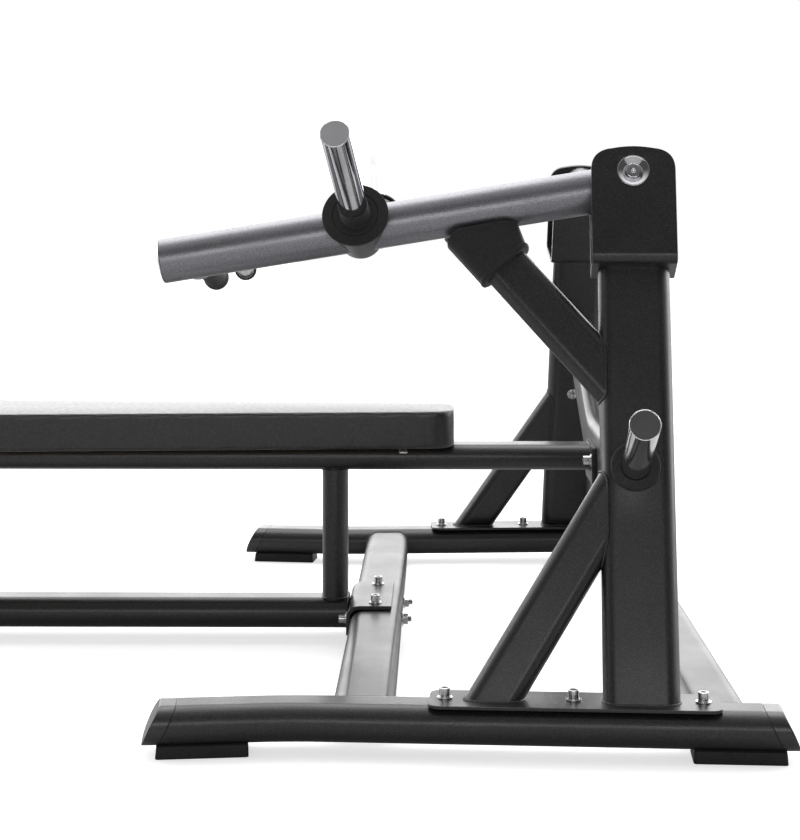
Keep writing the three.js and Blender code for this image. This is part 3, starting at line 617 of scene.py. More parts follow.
# ---- fasteners
def bolt_shapes():
    """A socket-head bolt on a washer and a spring washer, standing on the XY plane."""
    flat_top = BOLT.washer_height
    base = flat_top + BOLT.spring_height
    top = base + BOLT.height
    floor = top - BOLT.socket_depth
    head = ((0.6, base), (0, base + 0.6), (0, top - 1.4), (0.4, top - 0.5), (1.4, top))
    socket = ((0.5, top), (0, top - 0.6), (0, floor))
    rings = [circle(BOLT.head - inset, height) for inset, height in head]
    rings += [hexagon(BOLT.socket + wider, height, BOLT.widest) for wider, height in socket]
    rings.append(circle(0.3, floor - 1))
    washer = sleeve(BOLT.bore, BOLT.washer, 0, flat_top, 0.6)
    spring = sleeve(BOLT.bore, BOLT.head + 0.9, flat_top + 0.1, base - 0.05, 0.3)
    return [loft(rings), washer, spring]


def nut_shapes(nut):
    """A chamfered nut on a washer with a threaded stud end in it."""
    widest, base, chamfer = nut.apothem * 1.11, 2.2, 1.2
    top = base + nut.height
    levels = ((base, nut.apothem), (base + chamfer, widest), (top - chamfer, widest), (top, nut.apothem))
    rings = [hexagon(nut.apothem, height, most) for height, most in levels]
    washer = sleeve(nut.stud, nut.apothem * 1.4, 0, base, 0.6)
    thread = [(0, base)]
    turns = int(nut.height + nut.proud)
    for k in range(turns):
        thread += [(nut.stud, base + k + 0.25), (nut.stud - 0.7, base + k + 0.75)]
    thread += [(nut.stud - 1.2, base + turns), (0, base + turns)]
    return [loft(rings), washer, loft([circle(radius, z, 36) for radius, z in thread])]


def fasten(name, shapes, origin, direction, matrix):
    add(name, shapes, "zinc", matrix=matrix @ aim(direction, origin), sharp=32)


def fasten_both(name, shapes, origin, direction):
    """The same fastener on both sides; the origin is the left one's."""
    for side, mirror in MIRRORS.items():
        fasten(f"{side}_{name}", shapes, origin, direction, mirror)


# ---- base rails
def end_plane(tip, outward):
    """The slanted joint between a tube and its end cap: a point and a normal."""
    normal = (outward * RAIL.height + Z * RAIL_END.slant).normalized()
    return Vector((tip.x, tip.y, RAIL.bottom)) - outward * RAIL_END.cap, normal


def end_cap(tip, outward):
    """A moulded cap: a spigot, a straight skirt, a rounded rim and a slanted, slightly domed face."""
    side = outward.cross(Z)
    centre = Vector((tip.x, tip.y, RAIL.middle))
    section = oval(RAIL.width, RAIL.height)
    point, normal = end_plane(tip, outward)
    start = [side * p.x + Z * p.y for p in section]
    inner = ((RAIL_END.spigot, -RAIL_END.spigot_depth), (RAIL_END.spigot, RAIL_END.gap),
             (0.99, RAIL_END.gap), (1, RAIL_END.gap + 0.7))
    rings = [slide([centre + q * scale for q in start], outward, point + normal * depth, normal)
             for scale, depth in inner]
    face = ((1, 3.4), (0.997, 1.6), (0.985, 0.4), (0.965, 0), (0.8, 0), (0.55, 0), (0.25, 0), (0.02, 0))
    for scale, back in face:
        ring = []
        for p in section:
            share = (p.y * scale + RAIL.height / 2) / RAIL.height
            reach = -RAIL_END.slant * share + 4 * RAIL_END.bulge * share * (1 - share) - back
            ring.append(centre + side * p.x * scale + Z * p.y * scale + outward * reach)
        rings.append(ring)
    return loft(rings)


def foot_shape():
    """A drafted rubber foot with a small step above the floor."""
    top = FOOT.height
    levels = ((0.9, 0), (0.2, 0.3), (0, 1.1), (0.9, top * 0.6), (1.5, top - 0.7), (2.2, top))
    return stack(drawn_in(FOOT.length, FOOT.width, FOOT.corner), levels)


def build_rail(side):
    mirror = MIRRORS[side]
    put = adder(side, mirror)
    front, rear = rail_point(RAIL.front_x), rail_point(HALF_LENGTH)
    line = rounded([front, rail_point(RAIL.bend_x), rear], RAIL.bend_reach, steps=12)
    rings = sweep_rings(oval(RAIL.height, RAIL.width), line, Z)
    rings[0] = slide(rings[0], RAIL_FRONT, *end_plane(front, RAIL_FRONT))
    rings[-1] = slide(rings[-1], RAIL_BACK, *end_plane(rear, RAIL_BACK))
    rail = loft(rings)
    put("rail_tube", [rail], "frame", "base_rail", edge=0.8)
    for end, tip, outward in (("front", front, RAIL_FRONT), ("rear", rear, RAIL_BACK)):
        put(f"{end}_cap", [end_cap(tip, outward)], "plastic", f"rail_{end}_cap")
    for end, x, turn in zip(("front", "rear"), RAIL.feet_x, (RAIL.front_yaw, -YAW)):
        put(f"{end}_rubber_foot", [foot_shape()], "rubber", f"{end}_foot", place=on_rail(x, turn))
    plate = slab(BASE_PLATE.length, BASE_PLATE.width, BASE_PLATE.corner, PLATE_BOTTOM, PLATE_TOP, edge=1.1)
    put("plate", [plate], "frame", "base_plate", place=on_rail(BASE_PLATE.x, -YAW))
    for k, x in enumerate(BASE_PLATE.bolts):
        fasten(f"{side}_plate_bolt_{k}", bolt_shapes(), rail_point(x, PLATE_TOP), Z, mirror)
    return rail


# ---- side frames
def build_posts(side):
    """The upright and its two braces, with the welds between them."""
    matrix = MIRRORS[side] @ LEFT_FRAME
    put = adder(side, matrix)
    section = oval(UPRIGHT.width, UPRIGHT.depth)
    brace_section = oval(BRACE.width, BRACE.depth)
    top = section_ring(section, Z * (UPRIGHT.top - GAP), Z, X)
    foot = slide(section_ring(section, Vector(), Z, X), Z, FLOOR_POINT, LEVEL)
    upright = loft([foot, top])
    put("upright_tube", [upright], "frame", "upright")
    weld(f"{side}_upright_foot_weld", foot, LEVEL, matrix)

    lean = leaning(LOWER_BRACE.angle)
    heel = Vector((LOWER_BRACE.foot_x, 0, 0))
    middle = section_ring(brace_section, heel + lean * BRACE.middle, lean, X)
    foot = slide(middle, lean, FLOOR_POINT, LEVEL)
    head = coped(middle, lean, upright)
    put("lower_brace_tube", [loft([foot, head])], "frame", "lower_brace")
    weld(f"{side}_lower_brace_foot_weld", foot, LEVEL, matrix)
    weld(f"{side}_lower_brace_head_weld", head, lean, matrix)

    rise = UPPER_RISE
    start = coped(section_ring(brace_section, UPPER_ROOT + rise * BRACE.middle, rise, X), -rise, upright)
    head = section_ring(brace_section, UPPER_ROOT + rise * UPPER_BRACE.reach, rise, X)
    put("upper_brace_tube", [loft([start, head])], "frame", "upper_brace")
    weld(f"{side}_upper_brace_weld", start, rise, matrix)
    return upright


def boot_limit(point):
    """Above zero where a point is outside the boot's top, which the arm rests on."""
    in_arm = ARM_FRAME.inverted() @ point
    over = in_arm.z - (ARM.offset - ARM.radius) - BOOT_TOP.sunk
    front = Vector((-in_arm.x - BOOT_TOP.front, over)).dot(Vector(BOOT_TOP.front_normal))
    rear = Vector((in_arm.x + BOOT_TOP.rear, over)).dot(Vector(BOOT_TOP.rear_normal))
    groove = ARM.radius + BOOT_TOP.groove - math.hypot(in_arm.y, in_arm.z - ARM.offset)
    return max(over, front, rear, groove)


def room_above(point, along, most=200.0):
    """How far a point can go along a direction before it leaves the boot's top."""
    low, high = 0.0, most
    for _ in range(30):
        reach = (low + high) / 2
        if boot_limit(point + along * reach) > 0:
            high = reach
        else:
            low = reach
    return low


def build_boot(side):
    """A rubber boot with a thin rounded lip, flaring up to the seat that the arm rests on."""
    flare = leaning(-BOOT.flare)
    across = Y.cross(UPPER_RISE)
    start = UPPER_ROOT + UPPER_RISE * (UPPER_BRACE.reach - BOOT.overlap)
    section = round_rect(BOOT.width, BOOT.depth, BOOT.corner)
    half = BOOT.width / 2

    def level(height, inset):
        narrower, thinner = 1 - inset / half, 1 - 2 * inset / BOOT.depth
        return [start + across * p.x * narrower + Y * p.y * thinner + UPPER_RISE * height for p in section]

    def above(scale, share, short=0.0):
        ring = []
        for p in section:
            towards = max(p.x * scale / half, 0)
            along = (UPPER_RISE * (1 - towards) + flare * towards).normalized()
            base = start + (across * p.x + Y * p.y) * scale * BOOT.base + UPPER_RISE * (BOOT.lip + 2.5)
            ring.append(base + along * max(room_above(base, along) * share - short, 0))
        return ring

    lip = BOOT.lip
    levels = ((-2, 7), (-2, 3), (-0.8, 1), (2, 0), (lip - 3, 0), (lip - 0.5, 0.3), (lip + 0.6, 0.9),
              (lip + 1.6, 1.1))
    rings = [level(height, inset) for height, inset in levels]
    rings += [above(1, share) for share in (0, 0.3, 0.6, 0.85)]
    rings += [above(1, 1, 5), above(0.99, 1, 2.4), above(0.965, 1, 0.8), above(0.93, 1)]
    rings += [above(scale, 1) for scale in (0.85, 0.7, 0.5, 0.3, 0.15, 0.02)]
    put = adder(side, MIRRORS[side] @ LEFT_FRAME)
    put("boot", [loft(rings)], "rubber", "stop_boot", sharp=60)


def cheek_outline():
    """Half width of a cheek at each height, from the bend up to its crowned top."""
    half = CLEVIS.width / 2
    top = PIVOT_HEIGHT + CLEVIS.above
    low, high = top - CLEVIS.crown, top - CLEVIS.crown / 2
    corner = flat(half, low - CLEVIS.corner)
    shoulder = flat(half - CLEVIS.corner, high)
    line = quadratic(corner, flat(half, low), shoulder, 14)
    line += quadratic(shoulder, flat(0, high + CLEVIS.crown), flat(-shoulder.x, high), 24)[1:13]
    return line


def clevis_path():
    """Stations (half width, y, z, tangent) from the top of one cheek, round the U, to the other's."""
    half_depth, plate = CLEVIS.depth / 2, CLEVIS.plate
    reach, steps = CLEVIS.bend - plate / 2, 10
    path = [(p.x, -half_depth + plate / 2, p.y, Z) for p in reversed(cheek_outline())]
    for i in range(steps + 1):
        angle = TURN / 4 * i / steps
        y = -half_depth + CLEVIS.bend - reach * math.cos(angle)
        z = UPRIGHT.top + CLEVIS.bend - reach * math.sin(angle)
        path.append((CLEVIS.width / 2, y, z, Vector((0, -math.sin(angle), math.cos(angle)))))
    return path + [(width, -y, z, Vector((0, n.y, -n.z))) for width, y, z, n in reversed(path)]


def build_clevis(side):
    """A plate bent to a U, whose cheeks carry the pivot pin; the outer one is bored for the dish."""
    rings = []
    for width, y, z, tangent in clevis_path():
        normal = X.cross(tangent)
        section = round_rect(max(2 * width, 3), CLEVIS.plate, 1.4, 3)
        rings.append([Vector((p.x, y, z)) + normal * p.y for p in section])
    matrix = MIRRORS[side] @ LEFT_FRAME
    clevis = make(f"{side}_clevis", [loft(rings)], matrix, sharp=50)
    hole = rod(DISH.radius + GAP, 0, CLEVIS.plate * 2, 0.1)
    inner_face = Vector((0, CLEVIS.plate - CLEVIS.depth / 2, PIVOT_HEIGHT))
    carve(clevis, hole, matrix @ aim(-Y, inner_face + Y))
    show(clevis, "frame", "frame", f"{side}_pivot_clevis")


def build_pivot(side):
    """The pin, drilled in the middle of its outer end, the dished washer around it and its inner head."""
    outer = CLEVIS.depth / 2
    cheek = outer + GAP
    head = cheek + PIN.head_height
    put = adder(side, MIRRORS[side] @ LEFT_FRAME @ aim(Y, Z * PIVOT_HEIGHT))
    pin = lathe([
        (0, -outer + 5), (PIN.drill, -outer + 4), (PIN.drill, -outer + 0.6), (PIN.drill + 0.9, -outer),
        (PIN.radius, -outer), (PIN.radius, cheek), (PIN.head_radius, cheek), (PIN.head_radius, head),
        (PIN.recess_radius, head), (PIN.recess_radius, head - PIN.recess), (0, head - PIN.recess),
    ], soft=1.2)
    put("pin", [pin], "chrome", "pivot_pin")
    bore, inner = PIN.radius + GAP, -outer + CLEVIS.plate
    dish = lathe([
        (bore, inner - 2), (bore + 1.5, inner - 2.2), (DISH.radius - DISH.rim, -outer - 0.1),
        (DISH.radius, -outer), (DISH.radius, inner), (bore, inner),
    ], soft=0.6, closed=True)
    put("dish", [dish], "chrome", "pivot_dish")


def horn_shape(root, tip):
    """A plated tube with a chamfered end and a recessed end disc."""
    radius = HORN.radius
    return lathe([
        (0, root), (radius, root), (radius, tip - 0.8), (radius - 0.6, tip - 0.2), (radius - 1.1, tip - 0.2),
        (radius - 1.3, tip - 0.6), (0, tip - 0.6),
    ], soft=0.25)


def build_storage(side):
    """The plate storage horn on the upright, its rubber collar and the nut behind."""
    matrix = MIRRORS[side] @ LEFT_FRAME
    seat = Vector((STORAGE.x, -UPRIGHT.depth / 2, STORAGE.z))
    put = adder(side, matrix @ aim(-Y, seat))
    put("storage_tube", [horn_shape(0, STORAGE.length)], "chrome", "storage_horn")
    bore, rim, height = HORN.radius + GAP, STORAGE.collar, STORAGE.collar_height
    collar = lathe([
        (bore, GAP), (rim, GAP), (rim, height - 2), (rim - 5, height), (bore + 2, height + 1),
        (bore, height + 1),
    ], soft=1.6, closed=True)
    put("storage_ring", [collar], "rubber", "storage_collar")
    fasten(f"{side}_storage_nut", nut_shapes(STORAGE_NUT), seat + Y * UPRIGHT.depth, Y, matrix)


# ---- lever arms
def build_arm(side):
    """A lever arm, with its weight horn to the outside and its handle to the inside."""
    matrix = MIRRORS[side] @ LEFT_FRAME @ ARM_FRAME
    horn = aim((0, -math.cos(HORN.tilt), math.sin(HORN.tilt)), Vector((-HORN.along, 0, ARM.offset)))
    handle_along = Vector((0, math.cos(HANDLE.rise), math.sin(HANDLE.rise)))
    handle = aim(handle_along, Vector((-HANDLE.along, 0, ARM.offset)))
    put = adder(side, matrix, f"{side}_lever")
    build_arm_tube(put, handle)
    build_horn(adder(side, matrix @ horn, f"{side}_lever"))
    build_grip(adder(side, matrix @ handle, f"{side}_lever"))
    line = resampled(saddle_line(handle, HANDLE.flange - 0.5), WELD.spacing)
    bead = closed_tube(line, lambda i: WELD.radius, handle_along)
    put("handle_weld", [bead], "arm", sharp=180)


def build_arm_tube(put, handle):
    """The arm's tube, hub and handle rod in one piece, its end cap and the bush in its hub."""
    tube_place = aim(-X, Vector((0, 0, ARM.offset)))
    half = ARM.hub_width / 2
    shapes = [
        moved(rod(ARM.radius, 10, ARM.length, 0.8, steps=96), tube_place),
        moved(rod(ARM.hub_radius, -half, half, 1.5), aim(Y)),
        moved(rod(HANDLE.flange, 0, HANDLE.flange_end, 2.5), handle),
        moved(rod(HANDLE.radius, 30, HANDLE.length, 1), handle),
    ]
    put("arm_tube", shapes, "arm", "arm")
    end, rim = ARM.length + GAP, ARM.radius - 0.2
    cap = lathe([
        (0, end), (rim, end), (rim, end + 1.4), (ARM.radius - 4, end + 3.4), (ARM.radius - 16, end + 4.4),
        (0, end + 4.7),
    ], soft=3)
    put("arm_cap", [cap], "zinc", "arm_end_cap", place=tube_place)
    face = half + BUSH.proud
    bush = sleeve(PIN.radius + GAP, BUSH.radius, -face, face, 0.5)
    put("bush", [bush], "bronze", "hub_bush", place=aim(Y))


def build_horn(put):
    """The moulded housing, the rubber stop that a loaded plate rests against, and the weight horn."""
    cup = lathe([
        (0, HOUSING.back), (HOUSING.back_radius, HOUSING.back), (HOUSING.front_radius, HOUSING.front - 9),
        (HOUSING.front_radius, HOUSING.front), (0, HOUSING.front),
    ], soft=5)
    put("housing", [cup], "plastic", "horn_housing")
    bore, back, rim, face = HORN.radius + GAP, HOUSING.front + GAP, STOP.radius, STOP.face
    stop = lathe([
        (bore, back), (rim - 1, back), (rim, back + 2), (rim, face - 1), (STOP.groove + 1.6, face),
        (STOP.groove + 0.4, face - 1.4), (STOP.groove - 0.4, face - 1.4), (STOP.groove - 1.6, face),
        (STOP.collar + 1, face), (STOP.collar, face + 3), (STOP.collar, face + 20),
        (STOP.collar - 0.7, face + 20.8), (STOP.collar, face + 21.6), (STOP.collar, STOP.collar_end - 1),
        (bore, STOP.collar_end),
    ], soft=1.4, closed=True)
    put("stop", [stop], "rubber", "horn_stop")
    put("horn_tube", [horn_shape(ARM.radius, HORN.tip)], "chrome", "arm_horn")


def build_grip(put):
    """A ribbed rubber sleeve with a flared end and a bright plug."""
    bore, radius, end = HANDLE.radius + GAP, GRIP.radius, GRIP.end
    straight = end - GRIP.lip_width - 6
    profile = [(bore, GRIP.start), (radius + 1.5, GRIP.start), (radius + 1.5, GRIP.start + 8)]
    for k in range(int((straight - GRIP.start - 16) / GRIP.rib)):
        height = GRIP.start + 12 + k * GRIP.rib
        profile += [(radius - 0.8, height), (radius, height + 1.2), (radius, height + GRIP.rib - 2)]
    profile += [(radius, straight), (GRIP.lip, straight + 5), (GRIP.lip, end - 1), (bore, end - 0.5)]
    grip = lathe(profile, soft=0.8, closed=True)
    put("grip", [grip], "grip", "handle_grip")
    plug = lathe([
        (0, HANDLE.length - 2), (bore + 4, HANDLE.length - 2), (bore + 4, end - 0.2), (bore - 2, end + 1.2),
        (0, end + 1.4),
    ], soft=1)
    put("grip_plug", [plug], "zinc")


def saddle_line(place, radius):
    """Where a round piece, thinner than the arm's tube, leaves that tube."""
    along = (place.to_3x3() @ Z).normalized()
    ahead = Vector((0, along.y, along.z))
    points = []
    for p in circle(radius):
        start = place @ p
        offset = Vector((0, start.y, start.z - ARM.offset))
        passed = offset.dot(ahead)
        inside = passed ** 2 - ahead.length_squared * (offset.length_squared - ARM.radius ** 2)
        points.append(start + along * ((math.sqrt(inside) - passed) / ahead.length_squared))
    return points


# ---- beams across the machine
def build_crossings(rails):
    """The two cross-members between the rails."""
    section = oval(CROSS.width, CROSS.height)
    for name, x in zip(("front", "rear"), CROSS.xs):
        middle = Vector((x, 0, CROSS.middle))
        end = Y * (-rail_point(x).y - CROSS.sunk)
        tube = bar(section, middle - end, middle + end, X)
        add(f"{name}_cross_tube", [tube], "frame", f"{name}_cross_member")
        for side, along in (("left", -Y), ("right", Y)):
            line = meet(section_ring(section, middle, Y, X), along, rails[side])
            weld(f"{side}_{name}_cross_weld", line, Y)


def build_yoke(uprights):
    """The beam between the uprights, lower in the middle."""
    rise = (YOKE.side_z - YOKE.middle) / (YOKE.side_y - YOKE.half)
    end = Vector((YOKE.x, YOKE.side_y + YOKE.sunk, YOKE.side_z + YOKE.sunk * rise))
    knee = Vector((YOKE.x, YOKE.half, YOKE.middle))
    line = rounded([FLIP @ end, FLIP @ knee, knee, end], YOKE.bend, steps=12)
    section = oval(YOKE.depth, YOKE.width)
    add("yoke_tube", [loft(sweep_rings(section, line, X))], "frame", "yoke_beam")
    middle = section_ring(section, knee.lerp(end, 0.6), end - knee, X)
    line = meet(middle, (end - knee).normalized(), uprights["right"])
    for side, mirror in (("right", Matrix()), ("left", FLIP)):
        weld(f"{side}_yoke_weld", line, end - knee, mirror)


def bracket_shape(face):
    """An angle plate that lies on the cross-member and hangs down its front face."""
    plate, top, bend = BRACKET.plate, BRACKET.top, BRACKET.bend - BRACKET.plate
    under, front, rear = top - plate, face - plate, face + BRACKET.reach
    inner = quadratic(flat(face, under - bend), flat(face, under), flat(face + bend, under), 12)
    outer = quadratic(flat(front + BRACKET.bend, top), flat(front, top), flat(front, top - BRACKET.bend), 12)
    line = [flat(face, BRACKET.bottom), *inner, flat(rear, under), flat(rear, top), *outer,
            flat(front, BRACKET.bottom)]
    return loft([[Vector((p.x, side * BRACKET.half_width, p.y)) for p in line] for side in (-1, 1)])


def build_lower_bench():
    """The lower tube and its bolted angle bracket."""
    face = CROSS.xs[0] - CROSS.width / 2 - GAP
    front = face - BRACKET.plate
    bolts = BRACKET_BOLTS
    add("angle_bracket", [bracket_shape(face)], "frame", "bench_bracket", edge=1.4)
    fasten_both("bracket_bolt", bolt_shapes(), Vector((face + bolts.top_x, -bolts.top_y, BRACKET.top)), Z)
    fasten_both("bracket_cross_bolt", bolt_shapes(), Vector((front, -bolts.side_y, CROSS.middle)), -X)
    behind = Vector((CROSS.xs[0] + CROSS.width / 2, -bolts.side_y, CROSS.middle))
    fasten_both("bracket_nut", nut_shapes(FRAME_NUT), behind, X)

    foot_x = -HALF_LENGTH + FOOT_BAR.width / 2
    section = oval(LOWER_TUBE.height, LOWER_TUBE.width)
    rear = Vector((front - GAP, 0, LOWER_TUBE.middle))
    tube = bar(section, Vector((foot_x + 20, 0, LOWER_TUBE.middle)), rear, Z)
    add("lower_tube", [tube], "frame", "bench_lower_tube")
    weld("lower_tube_rear_weld", section_ring(section, rear - X * 1.5, X, Z), X)
    middle = section_ring(section, Vector((foot_x + 200, 0, LOWER_TUBE.middle)), X, Z)
    build_foot_bar(foot_x, middle)


def build_foot_bar(foot_x, tube_ring):
    """The bar across the bench's front end, welded to the lower tube, with its caps and feet."""
    section = oval(RAIL.height, RAIL.width)
    tips = [Vector((foot_x, sign * FOOT_BAR.half_length, RAIL.middle)) for sign in (-1, 1)]
    foot_bar = loft([slide(section_ring(section, tip, Y, Z), Y, *end_plane(tip, Y * sign))
                     for sign, tip in zip((-1, 1), tips)])
    add("foot_bar_tube", [foot_bar], "frame", "front_foot_bar", edge=0.8)
    weld("lower_tube_front_weld", meet(tube_ring, -X, foot_bar), X)
    for side, sign, tip in zip(("left", "right"), (-1, 1), tips):
        add(f"foot_bar_{side}_end", [end_cap(tip, Y * sign)], "plastic", f"foot_bar_{side}_cap")
        place = Matrix.Translation((foot_x, sign * FOOT_BAR.foot_y, 0)) @ Matrix.Rotation(TURN / 4, 4, "Z")
        add(f"foot_bar_{side}_rubber", [foot_shape()], "rubber", f"foot_bar_{side}_foot", matrix=place)


def build_upper_bench():
    """The upper tube with its bolted flange, two pad saddles, a plug and the two posts under it."""
    yoke_face = YOKE.x - YOKE.depth / 2 - GAP
    flange_face = yoke_face - YOKE_FLANGE.thickness
    section = oval(UPPER_TUBE.height, UPPER_TUBE.width)
    start = Vector((UPPER_TUBE.front, 0, UPPER_TUBE.middle))
    rear = Vector((flange_face, 0, UPPER_TUBE.middle))
    low, high = YOKE_FLANGE.bottom, YOKE_FLANGE.top
    width, corner = 2 * YOKE_FLANGE.half_width, YOKE_FLANGE.corner
    flange = slab(high - low, width, corner, flange_face, yoke_face, edge=0.9)
    flange = moved(flange, axes(Z * ((high + low) / 2), -Z, Y, X))
    add("upper_tube", [bar(section, start, rear + X, Z), flange], "frame", "bench_upper_tube")
    weld("upper_tube_flange_weld", section_ring(section, rear, X, Z), X)
    seat = Vector((flange_face, -YOKE_FLANGE.bolt_y, YOKE_FLANGE.bolt_z))
    fasten_both("flange_bolt", bolt_shapes(), seat, -X)
    for name, x in zip(("rear", "front"), SADDLE.xs):
        build_saddle(name, x)
    plug = slab(UPPER_TUBE.height, UPPER_TUBE.width, UPPER_TUBE.height / 2, 0, 3.7, edge=1.6)
    add("tube_plug", [plug], "plastic", "bench_tube_plug", matrix=axes(start - X * 4, -Z, Y, X))
    for name, x in zip(("rear", "front"), POST.xs):
        build_bench_post(name, x)


def build_bench_post(name, x):
    section = oval(POST.width, POST.length)
    low = Vector((x, 0, LOWER_TUBE.middle + LOWER_TUBE.height / 2))
    high = Vector((x, 0, UPPER_TUBE.middle - UPPER_TUBE.height / 2))
    post = bar(section, low - Z * POST.sunk, high + Z * POST.sunk, Y)
    add(f"{name}_post", [post], "frame", f"{name}_bench_post")
    for end, point in (("foot", low), ("head", high)):
        weld(f"{name}_post_{end}_weld", section_ring(section, point, Z, Y), Z)


def build_saddle(name, x):
    """A plate bent over the upper tube, with a bright countersunk screw up into the pad on each side."""
    half, middle = UPPER_TUBE.width / 2 + SADDLE.wrap, UPPER_TUBE.middle
    line = [p for p in oval(2 * half, 2 * (SADDLE.top - middle)) if p.y + middle > SADDLE.bottom]
    line = [*(p for p in line if p.x >= 0), *(p for p in line if p.x < 0)]
    ends = [x + side * SADDLE.length / 2 for side in (-1, 1)]
    plate = loft([[Vector((end, p.x, p.y + middle)) for p in line] for end in ends])
    add(f"{name}_saddle", [plate], "frame", edge=0.6)
    cone = lathe([(0, 0), (9.6, 0), (10, 3), (5, 12), (0, 12)], soft=0.8)
    for side, mirror in MIRRORS.items():
        place = Vector((x, -half - PAD_SCREW.outside, SADDLE.top - PAD_SCREW.depth))
        add(f"{side}_{name}_pad_screw", [cone], "zinc", matrix=mirror @ Matrix.Translation(place))


# ---- back pad
def pad_outline(inset):
    """The pad from above: narrow at the head, widening to the shoulder, then straight."""
    shoulder = PAD.head - (PAD.half - PAD.head_half) / PAD.taper
    head, front = PAD.head - inset, PAD.front + inset
    narrow, wide = PAD.head_half - inset, PAD.half - inset
    corners = [flat(shoulder, -wide), flat(head, -narrow), flat(head, narrow), flat(shoulder, wide),
               flat(front, wide), flat(front, -wide)]
    return rounded(corners, PAD.corner, steps=10, closed=True)


def pad_body():
    """The foam's shape before it swells: straight sides and a slightly crowned top."""
    low, top = PAD.bottom, PAD.top + 1
    under = ((30, low + 0.4), (22, low - 0.4), (10, low - 2.6), (1.4, low - 3), (0.8, low - 2))
    over = ((0.8, top - 2), (1.4, top - 0.4), (4, top), (30, top + 0.6), (60, top + 0.9))
    return stack(pad_outline, under + over)


def swell(pad):
    """Remeshes the pad and puffs it up as cloth, keeping its underside where the board holds it."""
    remesh = pad.modifiers.new("remesh", "REMESH")
    remesh.mode = "VOXEL"
    remesh.voxel_size = SWELL.voxel * MM
    graph = bpy.context.evaluated_depsgraph_get()
    pad.data = bpy.data.meshes.new_from_object(pad.evaluated_get(graph))
    pad.modifiers.clear()
    rest = [v.co.copy() for v in pad.data.vertices]
    held = pad.vertex_groups.new(name="held")
    held.add([i for i, co in enumerate(rest) if co.z < (PAD.bottom + SWELL.held) * MM], 1.0, "REPLACE")
    cloth = pad.modifiers.new("cloth", "CLOTH")
    cloth.settings.use_pressure = True
    cloth.settings.uniform_pressure_force = SWELL.pressure
    cloth.settings.vertex_group_mass = "held"
    cloth.settings.quality = 4
    cloth.settings.effector_weights.gravity = 0
    scene = bpy.context.scene
    for step in range(1, SWELL.steps + 1):
        scene.frame_set(step)
    graph = bpy.context.evaluated_depsgraph_get()
    swollen = [v.co.copy() for v in pad.evaluated_get(graph).data.vertices]
    pad.modifiers.clear()
    scene.frame_set(1)
    farthest = max((now - was).length for was, now in zip(rest, swollen))
    for vertex, was, now in zip(pad.data.vertices, rest, swollen):
        vertex.co = was + (now - was) * (SWELL.most * MM / farthest)
    pad.vertex_groups.clear()


def build_pad():
    """The vinyl pad with its two seams, and the board that closes it from below."""
    pad = make("bench_pad", [pad_body()], sharp=180)
    swell(pad)
    pad.data.polygons.foreach_set("use_smooth", [True] * len(pad.data.polygons))
    pad.modifiers.clear()
    smooth = pad.modifiers.new("smooth", "SUBSURF")
    smooth.levels = smooth.render_levels = 1
    show(pad, "frame", "vinyl", "back_pad")
    surface = BVHTree.FromPolygons([v.co / MM for v in pad.data.vertices],
                                   [tuple(f.vertices) for f in pad.data.polygons])
    build_seam("top", PAD.top - SEAM.below_top, surface)
    build_seam("bottom", PAD.bottom + SEAM.above_bottom, surface)
    low, high, edge = PAD.bottom - BOARD.proud, PAD.bottom + BOARD.thickness, BOARD.edge
    levels = ((edge, low), (0, low + edge), (0, high - edge), (edge, high))
    board = stack(pad_outline, [(BOARD.inset + extra, z) for extra, z in levels])
    add("board", [board], "plywood", "pad_board")


def build_seam(name, height, surface):
    """A thin piping where lines from outside the pad, going inwards, meet its side."""
    line = []
    outside, inside = (at_height(pad_outline(inset), height) for inset in (-20, 30))
    for start, end in zip(outside, inside):
        hit = surface.ray_cast(start, (end - start).normalized())[0]
        if hit is not None:
            line.append(hit)
    seam = closed_tube(resampled(line, SEAM.spacing), lambda i: SEAM.radius, Z)
    add(f"pad_{name}_seam", [seam], "vinyl", sharp=180)


# ---- studio
def add_panel(name, location, size, power):
    """A soft rectangular light that isn't itself in the picture, aimed at the machine's middle."""
    light = bpy.data.lights.new(name, "AREA")
    light.shape = "RECTANGLE"
    light.size, light.size_y = size
    light.energy = power
    obj = bpy.data.objects.new(name, light)
    obj.location = location
    obj.rotation_euler = (Vector((0.2, 0, 0.4)) - Vector(location)).to_track_quat("-Z", "Y").to_euler()
    obj.visible_camera = False
    bpy.context.scene.collection.objects.link(obj)


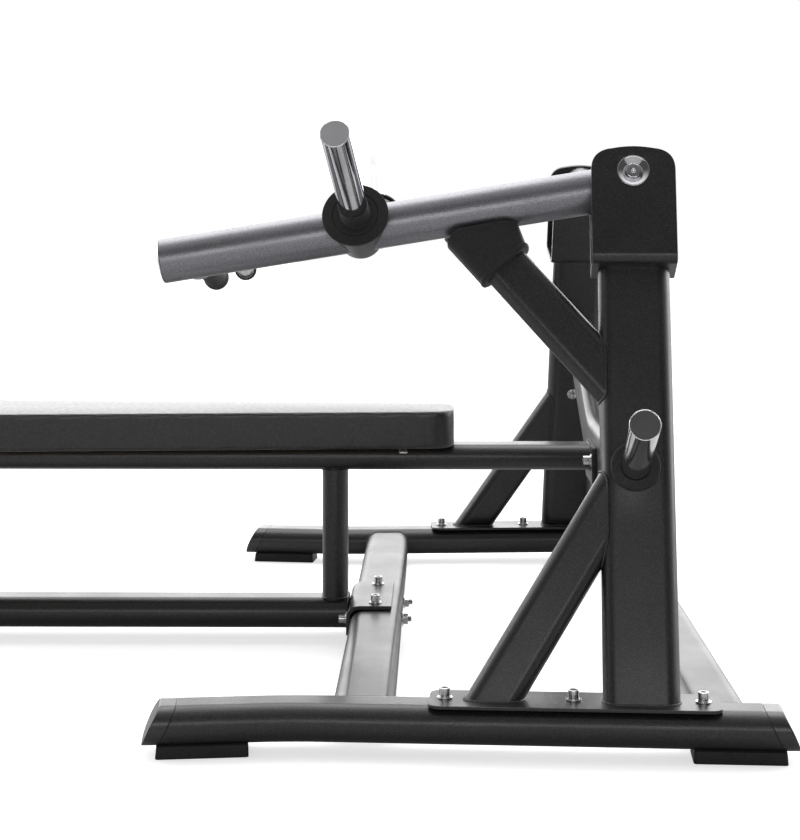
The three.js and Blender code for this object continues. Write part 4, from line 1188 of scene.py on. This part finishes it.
def add_world():
    """Plain white to the camera. To the machine it is dark on the camera's side and bright on the far side,
    with a stronger low glow there, which the tubes' tops and edges reflect."""
    world = bpy.data.worlds.new("studio")
    bpy.context.scene.world = world
    world.use_nodes = True
    tree = world.node_tree
    tree.nodes.clear()
    place = add_node(tree, "TexCoord", {}).outputs["Generated"]
    towards = add_node(tree, "SeparateXYZ", {0: place}).outputs
    back, up = towards["Y"], towards["Z"]

    def ramp(value, start, end):
        inputs = {"Value": value, "From Min": start, "From Max": end}
        return add_node(tree, "MapRange", inputs, interpolation_type="SMOOTHSTEP").outputs["Result"]

    def maths(operation, first, second):
        return add_node(tree, "Math", {0: first, 1: second}, operation=operation).outputs[0]

    def light(strength):
        inputs = {"Color": (1, 1, 1, 1), "Strength": strength}
        return add_node(tree, "Background", inputs).outputs[0]

    rear = maths("MULTIPLY", ramp(back, -0.5, 0.2), 0.95)
    overhead = maths("MULTIPLY", ramp(up, 0.55, 1.0), 0.4)
    low = maths("MULTIPLY", ramp(up, 0.85, 0.0), ramp(back, 0.3, 0.8))
    glow = maths("ADD", maths("MAXIMUM", rear, overhead), maths("MULTIPLY", low, 2.0))
    around = light(maths("ADD", glow, 0.07))
    seen = add_node(tree, "LightPath", {}).outputs["Is Camera Ray"]
    mix = add_node(tree, "MixShader", {0: seen, 1: around, 2: light(1.0)}).outputs[0]
    add_node(tree, "OutputWorld", {"Surface": mix})


def add_floor():
    """A pale floor, whose light on the machine is weaker than what the camera sees."""
    half = 30
    mesh = bpy.data.meshes.new("floor")
    corners = [(-half, -half, 0), (half, -half, 0), (half, half, 0), (-half, half, 0)]
    mesh.from_pydata(corners, [], [(0, 1, 2, 3)])
    floor = bpy.data.objects.new("floor", mesh)
    look = Look("pale_floor", grey(0.9), 0.9)
    look.roughness(look.noise(2), 0.85, 0.95)
    look.set(Emission_Color=(1, 1, 1, 1))
    seen = add_node(look.tree, "LightPath", {}).outputs["Is Camera Ray"]
    look.drive("Base Color", look.ranged(seen, 0, 1, 0.45, 0.9))
    look.drive("Emission Strength", look.ranged(seen, 0, 1, 0.04, 0.6))
    mesh.materials.append(look.material)
    bpy.context.scene.collection.objects.link(floor)


def add_studio():
    add_world()
    add_floor()
    add_panel("top_light", (0.2, 1.6, 4.2), (4, 3), 80)
    add_panel("strip_light", (0.1, -4.6, 1.4), (4, 0.8), 30)
    add_panel("left_light", (-4.2, 0.9, 1.8), (1.6, 3), 50)
    add_panel("right_light", (4.4, 0.9, 1.8), (1.6, 3), 50)
    bpy.context.scene.view_settings.view_transform = "Standard"


# ---- the machine
def build_machine():
    rails, uprights = {}, {}
    for side, mirror in MIRRORS.items():
        rails[side] = moved(build_rail(side), mirror)
        uprights[side] = moved(build_posts(side), mirror @ LEFT_FRAME)
        build_boot(side)
        build_clevis(side)
        build_pivot(side)
        build_storage(side)
        build_arm(side)
    build_crossings(rails)
    build_yoke(uprights)
    build_lower_bench()
    build_upper_bench()
    build_pad()


build_machine()
add_studio()
